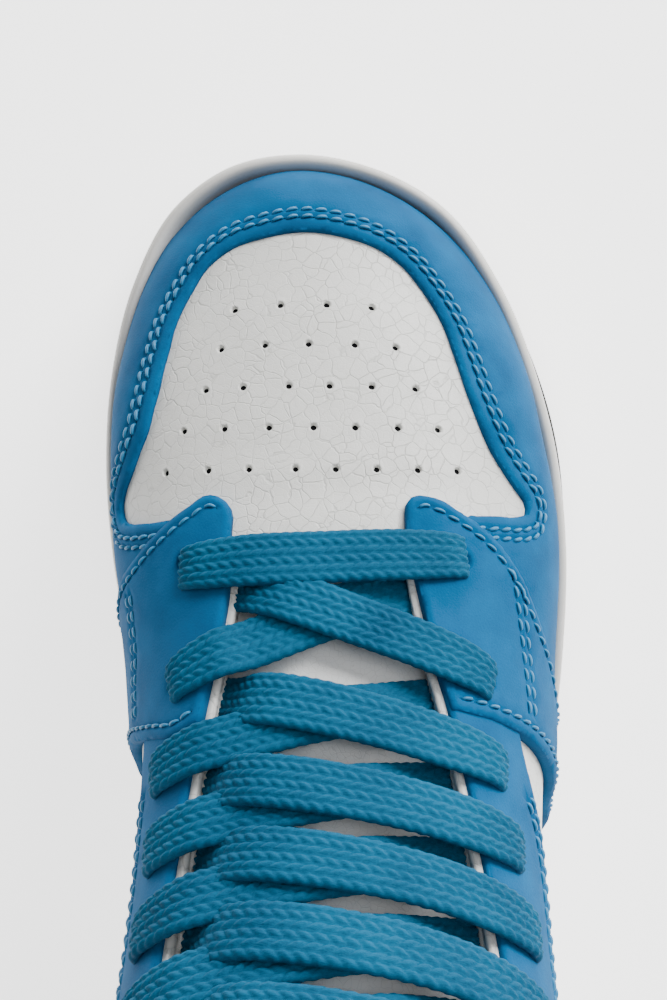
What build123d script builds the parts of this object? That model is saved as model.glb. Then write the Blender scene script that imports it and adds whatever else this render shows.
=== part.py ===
from build123d import *
import math
import os

os.makedirs("parts", exist_ok=True)

# Right basketball high top. +Y runs to the toe, +X to the outer (lateral) side, +Z up; the ground is z = 0.
# All sizes in mm.

# ---- Driving dimensions -------------------------------------------------------------------------
OVERLAY = 1.6              # nubuck overlay leather
BASE = 1.6                 # vamp and quarter leather
STIFFENER = 0.8            # toe puff and heel counter sheet
LINING = 0.8               # textile lining
COLLAR_PAD = 5.2           # collar foam
OUTSOLE = 4.5              # tread rubber
SOLE_PLANE = 16.0          # level at which the upper meets the strobel board
CUP_FLOOR = 3.5            # cupsole rubber under the foam wedge
CUP_GAP = 0.3              # cement gap between the upper and the cupsole wall
WEDGE_INSET = 9.4
BOARD_INSET = 14.0
SOCKLINER = 4.0
SOCKLINER_SPLIT = 12.0     # y of the bend line of the sockliner
TOE_SPRING = 5.2
HEEL_SPRING = 2.2
EYELET_R = 2.2
PERFORATION_R = 0.8
LACE_WIDTH = 9.6
LACE_THICK = 1.8
LACE_NECK_R = 1.7          # the lace bunched up inside an eyelet
TONGUE_SKIN = 1.2
AGLET_LENGTH = 22.0

# Heights above the leather face, outwards positive
FACE = 0.0
OUTSIDE = OVERLAY
BASE_BACK = -BASE
STIFF_BACK = BASE_BACK - STIFFENER
LINING_BACK = STIFF_BACK - LINING
PAD_BACK = STIFF_BACK - COLLAR_PAD
PAD_LINING_BACK = PAD_BACK - LINING
TONGUE_FRONT = -5.6
TONGUE_BACK = -9.0
TONGUE_PAD_BACK = -11.6

# Lines plan of the leather face. Each cutting plane fans from the sole side up to the crown line:
# crown y, z; root y, z; half widths (lateral, medial) at the root, the lower wall and the upper wall;
# height of the lower wall; depth of the crown arch; squareness of the crown arch.
STATIONS = [
    (140.6, 16.0, 84.0, 13.0, 44.5, 40.5, 45.0, 41.0, 45.0, 41.0, 2.0, 54.3, 1.86),
    (140.9, 31.0, 83.8, 13.2, 44.5, 40.5, 45.8, 41.8, 45.8, 41.8, 4.0, 55.2, 1.87),
    (138.0, 38.2, 83.6, 13.7, 44.5, 40.5, 46.0, 42.0, 46.0, 42.0, 5.5, 53.6, 1.90),
    (132.0, 43.8, 83.4, 14.1, 44.5, 40.5, 46.0, 42.0, 46.0, 42.0, 7.5, 49.0, 1.95),
    (112.5, 52.8, 82.5, 15.1, 44.3, 40.3, 46.0, 42.2, 46.0, 42.2, 13.0, 35.2, 2.10),
    (90.0, 60.6, 80.5, 15.9, 44.3, 40.5, 46.2, 42.6, 46.2, 42.6, 18.0, 27.7, 2.26),
    (69.0, 68.0, 63.0, 16.0, 46.0, 41.0, 48.3, 43.4, 48.3, 43.4, 19.5, 32.8, 2.35),
    (44.0, 81.2, 25.0, 16.0, 43.2, 37.6, 45.4, 40.7, 45.4, 40.5, 23.0, 42.0, 2.35),
    (16.0, 103.2, -30.0, 16.0, 38.8, 31.8, 41.9, 37.5, 40.2, 37.4, 33.0, 43.0, 2.35),
    (-6.5, 129.0, -100.0, 16.0, 30.5, 28.0, 37.2, 35.5, 38.0, 37.2, 46.0, 43.0, 2.35),
    (-14.5, 140.5, -126.0, 16.5, 20.0, 19.0, 36.2, 34.7, 38.0, 37.2, 50.0, 43.5, 2.3),
    (-20.5, 150.3, -138.5, 23.0, 4.0, 4.0, 35.8, 34.5, 38.0, 37.5, 52.0, 43.5, 2.3),
    (-25.5, 159.5, -141.0, 45.0, 2.0, 2.0, 35.8, 35.0, 38.3, 38.0, 48.0, 43.0, 2.25),
    (-30.8, 170.0, -136.5, 85.0, 2.0, 2.0, 36.3, 36.0, 38.8, 38.5, 44.0, 42.0, 2.2),
    (-36.0, 184.0, -136.0, 148.0, 2.0, 2.0, 38.3, 38.0, 39.5, 39.2, 40.0, 40.0, 2.1),
]
LOWER_SHARE = 0.3          # share of a half section that is the lower wall curve
UPPER_SHARE = 0.45         # where the crown arch starts
CROWN_POWER = 2.15
GIRTH_STEP = 0.012         # step in t used to walk round a section
SECTION_STEPS = [0, 0.1, 0.2, 0.3, 0.45, 0.54, 0.63, 0.72, 0.8, 0.87, 0.94, 1]

# Sole planform, (x, y), from the toe tip round the lateral side to the heel and back up the medial side
PLANFORM = [
    (-7.6, 147.5), (9.0, 144.6), (25.6, 135.6), (39.2, 117.3), (46.8, 99.0), (51.9, 80.0),
    (54.2, 60.0), (53.6, 35.0), (50.6, 8.0), (47.0, -20.0), (42.8, -50.0), (40.0, -80.0),
    (38.2, -105.0), (32.5, -125.0), (22.5, -138.0), (11.0, -145.0), (0.0, -147.5),
    (-10.6, -145.0), (-22.0, -138.0), (-31.5, -125.0), (-36.4, -105.0), (-37.0, -80.0),
    (-37.0, -50.0), (-38.6, -20.0), (-42.0, 8.0), (-47.0, 32.0), (-51.5, 56.0), (-52.9, 76.0),
    (-51.2, 99.0), (-46.5, 117.3), (-36.3, 135.6), (-23.6, 144.6),
]
# Top edge of the cupsole seen from the side, (y, z)
CUP_RIM = [(-152, 36.5), (-110, 34), (-60, 30.5), (0, 29), (60, 30.5), (110, 33.5), (152, 36)]

# Panel edges seen from the side, (y, z), from top to bottom
SADDLE_FRONT_LATERAL = [(70, 78), (69.2, 65.5), (66, 64.8), (61.4, 63.8), (54.2, 62.8),
                        (45.4, 61.2), (38.2, 57.6), (30.7, 50), (22, 34), (16, 16), (14, 4)]
SADDLE_FRONT_MEDIAL = [(71, 78), (69.8, 64.8), (66.7, 63.5), (62.2, 61.6), (57.3, 58.4),
                       (50.8, 50.3), (46.5, 44.6), (38, 30), (33, 16), (31, 4)]
SADDLE_BACK_LATERAL = [(33, 110), (30.3, 84.2), (28.2, 81.7), (25.4, 77.4), (21.1, 71.7),
                       (15.2, 63.5), (9, 54), (-2, 38), (-8, 16), (-9, 4)]
SADDLE_BACK_MEDIAL = [(33, 110), (28.6, 84.7), (25.6, 83), (23, 72), (20.7, 61.2),
                      (14, 48), (6, 32), (2, 16), (1, 4)]
EYESTAY_BACK = [(26, 77.6), (15.6, 78.5), (6, 80.5), (-4, 85), (-18, 95), (-32, 110),
                (-43, 125), (-50, 140), (-54, 170)]
ANKLE_PANEL_BOTTOM = [(-28, 104), (-60, 98), (-95, 90), (-118, 92)]
HEEL_OVERLAY_FRONT = [(-62, 4), (-70, 16), (-84, 34), (-98, 56), (-112, 78), (-150, 86)]
HEEL_TAB_FRONT = [(-150, 84), (-112, 76), (-118, 92), (-121, 110), (-122, 160)]
PAD_BAND = [(-58, 190), (-58, 150), (-62, 116), (-95, 106), (-150, 112), (-150, 190)]
COLLAR_LINE = [(-160, 148), (-134, 142), (-97, 129), (-62, 137), (-34, 150), (-12, 158)]
VAMP_BACK = [(34, 100), (30, 60), (22, 30), (18, 4)]

# Edges seen from above, (x, y)
THROAT = [(-19.4, 64.5), (13.8, 64.5), (16.1, 50.5), (17.6, 43.3), (19.5, 34.4), (23.5, 18),
          (25.6, 6), (26.6, -3.4), (27.5, -22), (27.5, -60), (-27.5, -60), (-27.5, -22), (-27.4, -3.4),
          (-27, 6), (-25.5, 18), (-22.6, 34.4), (-20.8, 43.3), (-19.7, 50.5)]
THROAT_FRONT_NOTCH = [(-19.4, 63), (13.8, 63), (13.8, 76), (-19.4, 76)]
TOE_OPENING = [(-6.1, 125.1), (9.6, 121.8), (18.7, 112.9), (24.2, 100.1), (28, 88), (31.3, 79.6),
               (36.6, 71.5), (39.4, 67.9), (36.7, 66.3), (20, 64), (-24, 64), (-36.9, 63.6),
               (-42.5, 64.6), (-43.6, 67.2), (-41, 75.6), (-36.5, 88), (-33.6, 100.5),
               (-29.3, 113.3), (-22.2, 121.8)]
TONGUE_EDGE = [(-24, 77), (18, 77), (26, 20), (25.5, -6), (25.5, -70), (-25.5, -70), (-25.5, -6), (-26, 20)]
TONGUE_TOP_HALF_WIDTH = 25.0
TONGUE_LABEL_HALF_WIDTH = 18.0

# Lacing: crown y of each eyelet row, and how far round from the crown line its lateral and medial
# eyelets sit
EYELET_ROWS = [(57.6, 26.0, 26.5), (37.1, 29.2, 29.2), (24.1, 31.4, 36.0), (13.7, 34.6, 36.7),
               (4.2, 38.3, 38.3), (-4.6, 39.0, 39.0), (-12.8, 39.6, 39.6), (-20.2, 40.0, 40.0)]
LACE_HIDDEN = -4.4         # middle of the lace under the eyestay
LACE_UNDER = 0.3           # middle of the lower lace where two cross
LACE_OVER = 3.0            # middle of the upper lace where two cross
LACE_ON_STAY = 3.1         # middle of the lace where it lies on the eyestay

# Perforations of the toe box: crown y of the row, half spacings at which holes sit either side
PERFORATION_ROWS = [(109.5, [-15.5, -6.0, 3.5, 13.0]),
                    (101.5, [-18.7, -9.5, -0.6, 8.7, 17.2]),
                    (92.5, [-22.3, -14.4, -5.1, 3.1, 11.6, 20.6]),
                    (84.0, [-27.4, -18.6, -9.5, -0.6, 7.7, 16.3, 24.6]),
                    (75.5, [-32.0, -22.3, -13.9, -4.6, 3.3, 11.4, 19.7, 28.0])]

# Free end of the lace on the lateral side: out of the top eyelet, then hanging inside the ankle
TAIL_ROUTE = [(27.7, -38.4, 134.5), (28.9, -40.8, 128.0), (30.0, -42.2, 120.0), (30.5, -43.1, 110.5),
              (30.5, -43.8, 99.0), (30.0, -44.2, 87.0), (30.4, -44.8, 75.0), (30.1, -45.3, 64.0)]

TONGUE_HINGE_CROWN_Y = -23.4
TONGUE_HINGE_DEPTH = -7.3
KNUCKLE_R = 1.7
TONGUE_GAP = 0.9           # the lower tongue stops this far short of the hinge line
KNUCKLE_RELIEF_R = 2.7


# ---- Shape of the last --------------------------------------------------------------------------
def centre_x(y):
    """The crown line swings towards the medial side near the toe."""
    return -7.6 * min(max((y - 15) / 132, 0), 2) ** 1.25


def section_point(station, t, side, height):
    """Point of a cutting plane's outline, t from 0 at the root to 1 at the crown: (x, rise)."""
    crown_y, crown_z, root_y, root_z, *widths, bulge, depth, squareness = station
    root_w, lower_w, upper_w = widths[0::2] if side > 0 else widths[1::2]
    span = math.hypot(crown_y - root_y, crown_z - root_z)
    on_back = min(max((root_z - SOLE_PLANE) / 6, 0), 1)
    low = -height * on_back
    high = span + height
    shoulder = max(high - depth, bulge + 3)
    root_w += height * (1 - on_back)
    lower_w += height
    upper_w += height
    if t < LOWER_SHARE:
        angle = t / LOWER_SHARE * math.pi / 2
        x = root_w + (lower_w - root_w) * math.sin(angle)
        rise = low + (bulge - low) * (1 - math.cos(angle))
    elif t < UPPER_SHARE:
        share = (t - LOWER_SHARE) / (UPPER_SHARE - LOWER_SHARE)
        x = lower_w + (upper_w - lower_w) * share * share * (3 - 2 * share)
        rise = bulge + (shoulder - bulge) * share
    else:
        angle = min((t - UPPER_SHARE) / (1 - UPPER_SHARE), 1) * math.pi / 2
        x = upper_w * max(math.cos(angle), 0) ** (2 / squareness)
        rise = shoulder + (high - shoulder) * math.sin(angle) ** (2 / CROWN_POWER)
    y = root_y + (crown_y - root_y) * rise / span
    return centre_x(y) + side * x, rise


def space_point(station, t, side, height=FACE):
    """The same point in space."""
    crown_y, crown_z, root_y, root_z = station[:4]
    x, rise = section_point(station, t, side, height)
    share = rise / math.hypot(crown_y - root_y, crown_z - root_z)
    return Vector(x, root_y + (crown_y - root_y) * share, root_z + (crown_z - root_z) * share)


def last_shape(height):
    """Closed solid of the whole upper with its faces moved out by height."""
    with BuildPart() as shape:
        for station in STATIONS:
            crown_y, crown_z, root_y, root_z = station[:4]
            rise = Vector(0, crown_y - root_y, crown_z - root_z).normalized()
            plane = Plane(origin=(0, root_y, root_z), x_dir=(1, 0, 0), z_dir=Vector(1, 0, 0).cross(rise))
            lateral = [section_point(station, t, 1, height) for t in SECTION_STEPS]
            medial = [section_point(station, t, -1, height) for t in SECTION_STEPS[-2::-1]]
            with BuildSketch(plane):
                with BuildLine():
                    Spline(*lateral, *medial)
                    Line(medial[-1], lateral[0])
                make_face()
        loft(ruled=True)
    return shape.part


def crown_fraction(crown_y):
    """Station index and share at which the crown line reaches a given y."""
    for index in range(1, len(STATIONS) - 1):
        front, back = STATIONS[index][0], STATIONS[index + 1][0]
        if back <= crown_y <= front:
            return index, (front - crown_y) / (front - back)
    raise ValueError(crown_y)


def on_last(crown_y, girth, height=FACE):
    """Point at a distance round from the crown line, positive to the lateral side, with its normal."""
    index, share = crown_fraction(crown_y)
    front, back = STATIONS[index], STATIONS[index + 1]
    side = 1 if girth >= 0 else -1

    def face_point(t, blend=share):
        return space_point(front, t, side) * (1 - blend) + space_point(back, t, side) * blend

    t = 1.0
    walked = 0.0
    here = face_point(t)
    while walked < abs(girth) and t > GIRTH_STEP:
        there = face_point(t - GIRTH_STEP)
        step = (there - here).length
        part_step = min((abs(girth) - walked) / step, 1)
        t -= GIRTH_STEP * part_step
        walked += step
        here = here + (there - here) * part_step
    across = face_point(t - GIRTH_STEP) - face_point(min(t + GIRTH_STEP, 1))
    along = face_point(t, share + GIRTH_STEP) - face_point(t, share - GIRTH_STEP)
    normal = across.cross(along).normalized()
    inside = Vector(0, (front[2] + crown_y) / 2, 30)
    if normal.dot(here - inside) < 0:
        normal = normal * -1
    return here + normal * height, normal


# ---- Shared solids ------------------------------------------------------------------------------
def side_profile(*outline):
    """Closed outline drawn in the Y-Z plane, extruded right through the shoe."""
    with BuildPart() as block:
        with BuildSketch(Plane.YZ):
            with BuildLine():
                Polyline(*outline, close=True)
            make_face()
        extrude(amount=90, both=True)
    return block.part


def top_profile(outline, low=40.0, high=220.0):
    """Closed outline drawn from above, extruded up."""
    with BuildPart() as block:
        with BuildSketch(Plane.XY.offset(low)):
            with BuildLine():
                Polyline(*outline, close=True)
            make_face()
        extrude(amount=high - low)
    return block.part


def half_space(side):
    """Block on one side of the centre plane."""
    with BuildPart() as block:
        with Locations((side * 50, 0, 100)):
            Box(100, 400, 300)
    return block.part


def planform_points(inset):
    """Points of the sole outline, each moved in square to the outline."""
    points = []
    for index, (x, y) in enumerate(PLANFORM):
        before_x, before_y = PLANFORM[index - 1]
        after_x, after_y = PLANFORM[(index + 1) % len(PLANFORM)]
        run = math.hypot(after_x - before_x, after_y - before_y)
        points.append((x + inset * (after_y - before_y) / run, y - inset * (after_x - before_x) / run))
    return points


def planform(inset, low, high):
    """Sole outline moved in by inset, extruded between two levels."""
    with BuildPart() as block:
        with BuildSketch(Plane.XY.offset(low)):
            with BuildLine():
                Spline(*planform_points(inset), periodic=True)
            make_face()
        extrude(amount=high - low)
    return block.part


def ground_band(low, high_line):
    """Side view of everything from a line parallel to the ground curve up to a top line."""
    with BuildPart() as block:
        with BuildSketch(Plane.YZ):
            with BuildLine():
                Spline((-160, HEEL_SPRING + 1 + low), (-120, low), tangents=[(1, -0.14), (1, 0)])
                Line((-120, low), (85, low))
                Spline((85, low), (160, TOE_SPRING + 1.5 + low), tangents=[(1, 0), (1, 0.16)])
                Line((160, TOE_SPRING + 1.5 + low), (160, high_line[-1][1]))
                Polyline((160, high_line[-1][1]), *reversed(high_line), (-160, high_line[0][1]))
                Line((-160, high_line[0][1]), (-160, HEEL_SPRING + 1 + low))
            make_face()
        extrude(amount=90, both=True)
    return block.part


outside_solid = last_shape(OUTSIDE)
face_solid = last_shape(FACE)
base_back_solid = last_shape(BASE_BACK)
stiff_back_solid = last_shape(STIFF_BACK)
lining_back_solid = last_shape(LINING_BACK)
cup_room_solid = last_shape(OUTSIDE + CUP_GAP)
pad_back_solid = last_shape(PAD_BACK)
pad_lining_back_solid = last_shape(PAD_LINING_BACK)

above_collar = side_profile(*COLLAR_LINE, (-12, 230), (-160, 230))
throat = top_profile(THROAT)
lateral_half = half_space(1)
medial_half = half_space(-1)


def shell(outer, inner):
    """Skin between two last shapes, open at the collar and at the throat."""
    with BuildPart() as skin:
        add(outer)
        add(inner, mode=Mode.SUBTRACT)
        add(above_collar, mode=Mode.SUBTRACT)
        add(throat, mode=Mode.SUBTRACT)
    return skin.part


overlay_skin = shell(outside_solid, face_solid)
base_skin = shell(face_solid, base_back_solid)
stiff_skin = shell(base_back_solid, stiff_back_solid)
lining_skin = shell(stiff_back_solid, lining_back_solid)

in_front_of_saddle_lateral = side_profile(*SADDLE_FRONT_LATERAL, (160, 4), (160, 78))
in_front_of_saddle_medial = side_profile(*SADDLE_FRONT_MEDIAL, (160, 4), (160, 78))
behind_saddle_lateral = side_profile(*SADDLE_BACK_LATERAL, (-160, 4), (-160, 200), (33, 200))
behind_saddle_medial = side_profile(*SADDLE_BACK_MEDIAL, (-160, 4), (-160, 200), (33, 200))
above_eyestay_back = side_profile(*EYESTAY_BACK, (-54, 230), (60, 230), (60, 77.6))
below_heel_front = side_profile(*HEEL_OVERLAY_FRONT, (-150, 4))
heel_tab_room = side_profile(*HEEL_TAB_FRONT, (-160, 160), (-160, 84))
above_ankle_bottom = side_profile(*ANKLE_PANEL_BOTTOM, (-118, 230), (0, 230), (0, 104))
in_front_of_vamp_back = side_profile(*VAMP_BACK, (160, 4), (160, 100))
pad_band = side_profile(*PAD_BAND)


def eyelet(row, side):
    """Crown y and signed girth of one eyelet."""
    crown_y, lateral, medial = EYELET_ROWS[row]
    return (crown_y, lateral) if side > 0 else (crown_y, -medial)


def eyelet_drills(radius, low, high):
    """A pin through each eyelet, square to the leather."""
    with BuildPart() as pins:
        for row in range(len(EYELET_ROWS)):
            for side in (1, -1):
                centre, normal = on_last(*eyelet(row, side), low)
                with Locations(Plane(origin=centre, z_dir=normal)):
                    Cylinder(radius, high - low, align=(Align.CENTER, Align.CENTER, Align.MIN))
    return pins.part


eyelets = eyelet_drills(EYELET_R, -9.0, 8.0)

# ---- Sole unit ----------------------------------------------------------------------------------
flat_top = [(-150, 60), (150, 60)]

with BuildPart() as outsole:
    add(planform(0, -2, 40))
    add(ground_band(0, flat_top), mode=Mode.INTERSECT)
    add(ground_band(OUTSOLE, flat_top), mode=Mode.SUBTRACT)
outsole.part.label = "outsole"

with BuildPart() as wedge_pocket:
    add(planform(WEDGE_INSET - 0.3, 0, SOLE_PLANE + 0.6))
    add(ground_band(OUTSOLE + CUP_FLOOR, flat_top), mode=Mode.INTERSECT)

with BuildPart() as cupsole:
    add(planform(0, -2, 60))
    add(ground_band(OUTSOLE, CUP_RIM), mode=Mode.INTERSECT)
    add(wedge_pocket.part, mode=Mode.SUBTRACT)
    add(cup_room_solid, mode=Mode.SUBTRACT)
cupsole.part.label = "cupsole"

with BuildPart() as heel_cushion:
    with BuildSketch(Plane.XY.offset(9.4)):
        with Locations((0.5, -98)):
            Ellipse(21, 31)
    extrude(amount=3.4)
heel_cushion.part.label = "heel_cushion"

WEDGE_TOP = 13.0
with BuildPart() as midsole_wedge:
    add(planform(WEDGE_INSET + 0.3, 0, WEDGE_TOP))
    add(ground_band(OUTSOLE + CUP_FLOOR + 0.3, flat_top), mode=Mode.INTERSECT)
    add(heel_cushion.part, mode=Mode.SUBTRACT)
midsole_wedge.part.label = "midsole_wedge"

with BuildPart() as strobel_board:
    add(planform(BOARD_INSET, WEDGE_TOP + 0.4, WEDGE_TOP + 1.9))
strobel_board.part.label = "strobel_board"

sock_room_solid = last_shape(LINING_BACK - 0.7)


def sockliner(name, low_y, high_y):
    with BuildPart() as piece:
        add(sock_room_solid)
        with Locations((0, (low_y + high_y) / 2, SOLE_PLANE + 0.4 + SOCKLINER / 2)):
            Box(200, high_y - low_y, SOCKLINER, mode=Mode.INTERSECT)
    piece.part.label = name
    return piece


sockliner_front = sockliner("sockliner_front", SOCKLINER_SPLIT + 0.2, 118)
sockliner_heel = sockliner("sockliner_heel", -150, SOCKLINER_SPLIT - 0.2)

# ---- Base leather -------------------------------------------------------------------------------
with BuildPart() as vamp:
    add(base_skin)
    add(in_front_of_vamp_back, mode=Mode.INTERSECT)
    add(eyelets, mode=Mode.SUBTRACT)
    for crown_y, girths in PERFORATION_ROWS:
        for girth in girths:
            centre, normal = on_last(crown_y, girth, -4)
            with Locations(Plane(origin=centre, z_dir=normal)):
                Cylinder(PERFORATION_R, 8, align=(Align.CENTER, Align.CENTER, Align.MIN), mode=Mode.SUBTRACT)
vamp.part.label = "vamp"


def quarter(name, half):
    with BuildPart() as piece:
        add(base_skin)
        add(in_front_of_vamp_back, mode=Mode.SUBTRACT)
        add(half, mode=Mode.INTERSECT)
        add(eyelets, mode=Mode.SUBTRACT)
    piece.part.label = name
    return piece


quarter_lateral = quarter("quarter_lateral", lateral_half)
quarter_medial = quarter("quarter_medial", medial_half)

# ---- Overlays -----------------------------------------------------------------------------------
with BuildPart() as behind_lateral_front:
    add(lateral_half)
    add(in_front_of_saddle_lateral, mode=Mode.SUBTRACT)
with BuildPart() as behind_medial_front:
    add(medial_half)
    add(in_front_of_saddle_medial, mode=Mode.SUBTRACT)

with BuildPart() as toe_cap_overlay:
    add(overlay_skin)
    add(behind_lateral_front.part, mode=Mode.SUBTRACT)
    add(behind_medial_front.part, mode=Mode.SUBTRACT)
    add(top_profile(TOE_OPENING, 36), mode=Mode.SUBTRACT)
toe_cap_overlay.part.label = "toe_cap_overlay"


def saddle(name, half, front, back):
    """Forefoot overlay that carries the first two eyelets and runs down to the sole."""
    with BuildPart() as piece:
        add(overlay_skin)
        add(half, mode=Mode.INTERSECT)
        add(front, mode=Mode.SUBTRACT)
        add(back, mode=Mode.SUBTRACT)
        add(top_profile(THROAT_FRONT_NOTCH), mode=Mode.SUBTRACT)
        add(eyelets, mode=Mode.SUBTRACT)
    piece.part.label = name
    return piece


forefoot_overlay_lateral = saddle("forefoot_overlay_lateral", lateral_half, in_front_of_saddle_lateral, behind_saddle_lateral)
forefoot_overlay_medial = saddle("forefoot_overlay_medial", medial_half, in_front_of_saddle_medial, behind_saddle_medial)


def eyestay(name, half, behind_saddle):
    with BuildPart() as piece:
        add(overlay_skin)
        add(half, mode=Mode.INTERSECT)
        add(behind_saddle, mode=Mode.INTERSECT)
        add(above_eyestay_back, mode=Mode.INTERSECT)
        add(eyelets, mode=Mode.SUBTRACT)
    piece.part.label = name
    return piece


eyestay_lateral = eyestay("eyestay_lateral", lateral_half, behind_saddle_lateral)
eyestay_medial = eyestay("eyestay_medial", medial_half, behind_saddle_medial)


def ankle_panel(name, half):
    with BuildPart() as piece:
        add(overlay_skin)
        add(half, mode=Mode.INTERSECT)
        add(above_ankle_bottom, mode=Mode.INTERSECT)
        add(above_eyestay_back, mode=Mode.SUBTRACT)
        add(heel_tab_room, mode=Mode.SUBTRACT)
    piece.part.label = name
    return piece


ankle_panel_lateral = ankle_panel("ankle_panel_lateral", lateral_half)
ankle_panel_medial = ankle_panel("ankle_panel_medial", medial_half)

with BuildPart() as heel_tab:
    add(overlay_skin)
    add(heel_tab_room, mode=Mode.INTERSECT)
    add(below_heel_front, mode=Mode.SUBTRACT)
heel_tab.part.label = "heel_tab"

with BuildPart() as heel_overlay:
    add(overlay_skin)
    add(below_heel_front, mode=Mode.INTERSECT)
heel_overlay.part.label = "heel_overlay"

# ---- Stiffeners, linings and collar -------------------------------------------------------------
with BuildPart() as toe_puff:
    add(stiff_skin)
    with Locations((0, 158, 60)):
        Box(200, 100, 140, mode=Mode.INTERSECT)
toe_puff.part.label = "toe_puff"

with BuildPart() as heel_counter:
    add(stiff_skin)
    with Locations((0, -130, 45)):
        Box(200, 110, 72, mode=Mode.INTERSECT)
heel_counter.part.label = "heel_counter"

with BuildPart() as vamp_lining:
    add(lining_skin)
    add(in_front_of_vamp_back, mode=Mode.INTERSECT)
    add(eyelets, mode=Mode.SUBTRACT)
vamp_lining.part.label = "vamp_lining"


def quarter_lining(name, half):
    with BuildPart() as piece:
        add(lining_skin)
        add(in_front_of_vamp_back, mode=Mode.SUBTRACT)
        add(half, mode=Mode.INTERSECT)
        add(pad_band, mode=Mode.SUBTRACT)
        add(eyelets, mode=Mode.SUBTRACT)
    piece.part.label = name
    return piece


quarter_lining_lateral = quarter_lining("quarter_lining_lateral", lateral_half)
quarter_lining_medial = quarter_lining("quarter_lining_medial", medial_half)

with BuildPart() as collar_foam:
    add(shell(stiff_back_solid, pad_back_solid))
    add(pad_band, mode=Mode.INTERSECT)
collar_foam.part.label = "collar_foam"

with BuildPart() as collar_lining:
    add(shell(pad_back_solid, pad_lining_back_solid))
    add(pad_band, mode=Mode.INTERSECT)
collar_lining.part.label = "collar_lining"

# ---- Tongue -------------------------------------------------------------------------------------
hinge_point, hinge_normal = on_last(TONGUE_HINGE_CROWN_Y, 0, TONGUE_HINGE_DEPTH)
tongue_rise = Vector(1, 0, 0).cross(hinge_normal).normalized()
if tongue_rise.Z < 0:
    tongue_rise = tongue_rise * -1
tongue_plane = Plane(origin=hinge_point, x_dir=(1, 0, 0), z_dir=tongue_rise)


def beyond_hinge(distance, depth=80):
    """Everything above a plane across the tongue at a distance up from its hinge line."""
    with BuildPart() as block:
        with BuildSketch(tongue_plane.offset(distance)):
            Rectangle(200, 60)
        extrude(amount=depth)
    return block.part


def tongue_layer(front, back, half_width=None):
    with BuildPart() as layer:
        add(last_shape(front))
        add(last_shape(back), mode=Mode.SUBTRACT)
        add(top_profile(TONGUE_EDGE, 30), mode=Mode.INTERSECT)
        if half_width:
            with Locations((0, -20, 120)):
                Box(2 * half_width, 260, 260, mode=Mode.INTERSECT)
    return layer.part


def hinge_bar(radius, half_width):
    with BuildPart() as bar:
        with Locations(Plane(origin=hinge_point, z_dir=(1, 0, 0))):
            Cylinder(radius, 2 * half_width)
    return bar.part


with BuildPart() as tongue_lower:
    add(tongue_layer(TONGUE_FRONT, TONGUE_BACK))
    add(beyond_hinge(-TONGUE_GAP), mode=Mode.SUBTRACT)
    add(hinge_bar(KNUCKLE_RELIEF_R, 60), mode=Mode.SUBTRACT)
tongue_lower.part.label = "tongue_lower"

TONGUE_TOP_REACH = 25.0
with BuildPart() as tongue_foam:
    add(tongue_layer(TONGUE_FRONT - TONGUE_SKIN, TONGUE_PAD_BACK + TONGUE_SKIN, TONGUE_TOP_HALF_WIDTH - 3))
    add(beyond_hinge(4.5, TONGUE_TOP_REACH - 7.5), mode=Mode.INTERSECT)
tongue_foam.part.label = "tongue_foam"

with BuildPart() as tongue_upper:
    add(tongue_layer(TONGUE_FRONT, TONGUE_PAD_BACK, TONGUE_TOP_HALF_WIDTH))
    add(beyond_hinge(1.5, TONGUE_TOP_REACH), mode=Mode.INTERSECT)
    with BuildSketch(tongue_plane.offset(-0.2)):
        Rectangle(2 * TONGUE_TOP_HALF_WIDTH - 6, 2.4)
    extrude(amount=2.5)
    add(hinge_bar(KNUCKLE_R, TONGUE_TOP_HALF_WIDTH - 3))
    add(tongue_foam.part, mode=Mode.SUBTRACT)
tongue_upper.part.label = "tongue_upper"

with BuildPart() as tongue_label:
    add(tongue_layer(TONGUE_FRONT + 1.0, TONGUE_FRONT, TONGUE_LABEL_HALF_WIDTH))
    add(beyond_hinge(7, 14), mode=Mode.INTERSECT)
tongue_label.part.label = "tongue_label"


# ---- Lacing -------------------------------------------------------------------------------------
def lace_strap(start, end, stops):
    """Flat lace between two eyelets; stops are (share of the way, height above the leather)."""
    (start_y, start_girth), (end_y, end_girth) = start, end
    first, first_normal = on_last(start_y, start_girth, stops[0][1])
    last, last_normal = on_last(end_y, end_girth, stops[-1][1])
    run = (last - first).normalized()
    up = first_normal + last_normal
    up = (up - run * up.dot(run)).normalized()
    plane = Plane(origin=first, x_dir=run, z_dir=run.cross(up))
    points = []
    for share, height in stops:
        girth = start_girth + (end_girth - start_girth) * share
        crown_y = start_y + (end_y - start_y) * share
        point = on_last(crown_y, girth, height)[0] - first
        points.append((point.dot(run), point.dot(up)))
    with BuildPart() as strap:
        with BuildSketch(plane):
            with BuildLine():
                Polyline(*points)
            trace(line_width=LACE_THICK)
        extrude(amount=LACE_WIDTH / 2, both=True)
    return strap.part


def lace_neck(row, side):
    """The lace pinched through one eyelet."""
    centre, normal = on_last(*eyelet(row, side), LACE_HIDDEN + 1.0)
    with BuildPart() as neck:
        with Locations(Plane(origin=centre, z_dir=normal)):
            Cylinder(LACE_NECK_R, LACE_ON_STAY - LACE_HIDDEN - 1.0, align=(Align.CENTER, Align.CENTER, Align.MIN))
    return neck.part


LACE_CLEARANCE = 0.15
with BuildPart() as leather_stack:
    add(shell(last_shape(OUTSIDE + LACE_CLEARANCE), last_shape(LINING_BACK - LACE_CLEARANCE)))
    add(top_profile(THROAT_FRONT_NOTCH), mode=Mode.SUBTRACT)
    add(eyelets, mode=Mode.SUBTRACT)
tongue_room = tongue_layer(TONGUE_FRONT + LACE_CLEARANCE, TONGUE_BACK)


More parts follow.
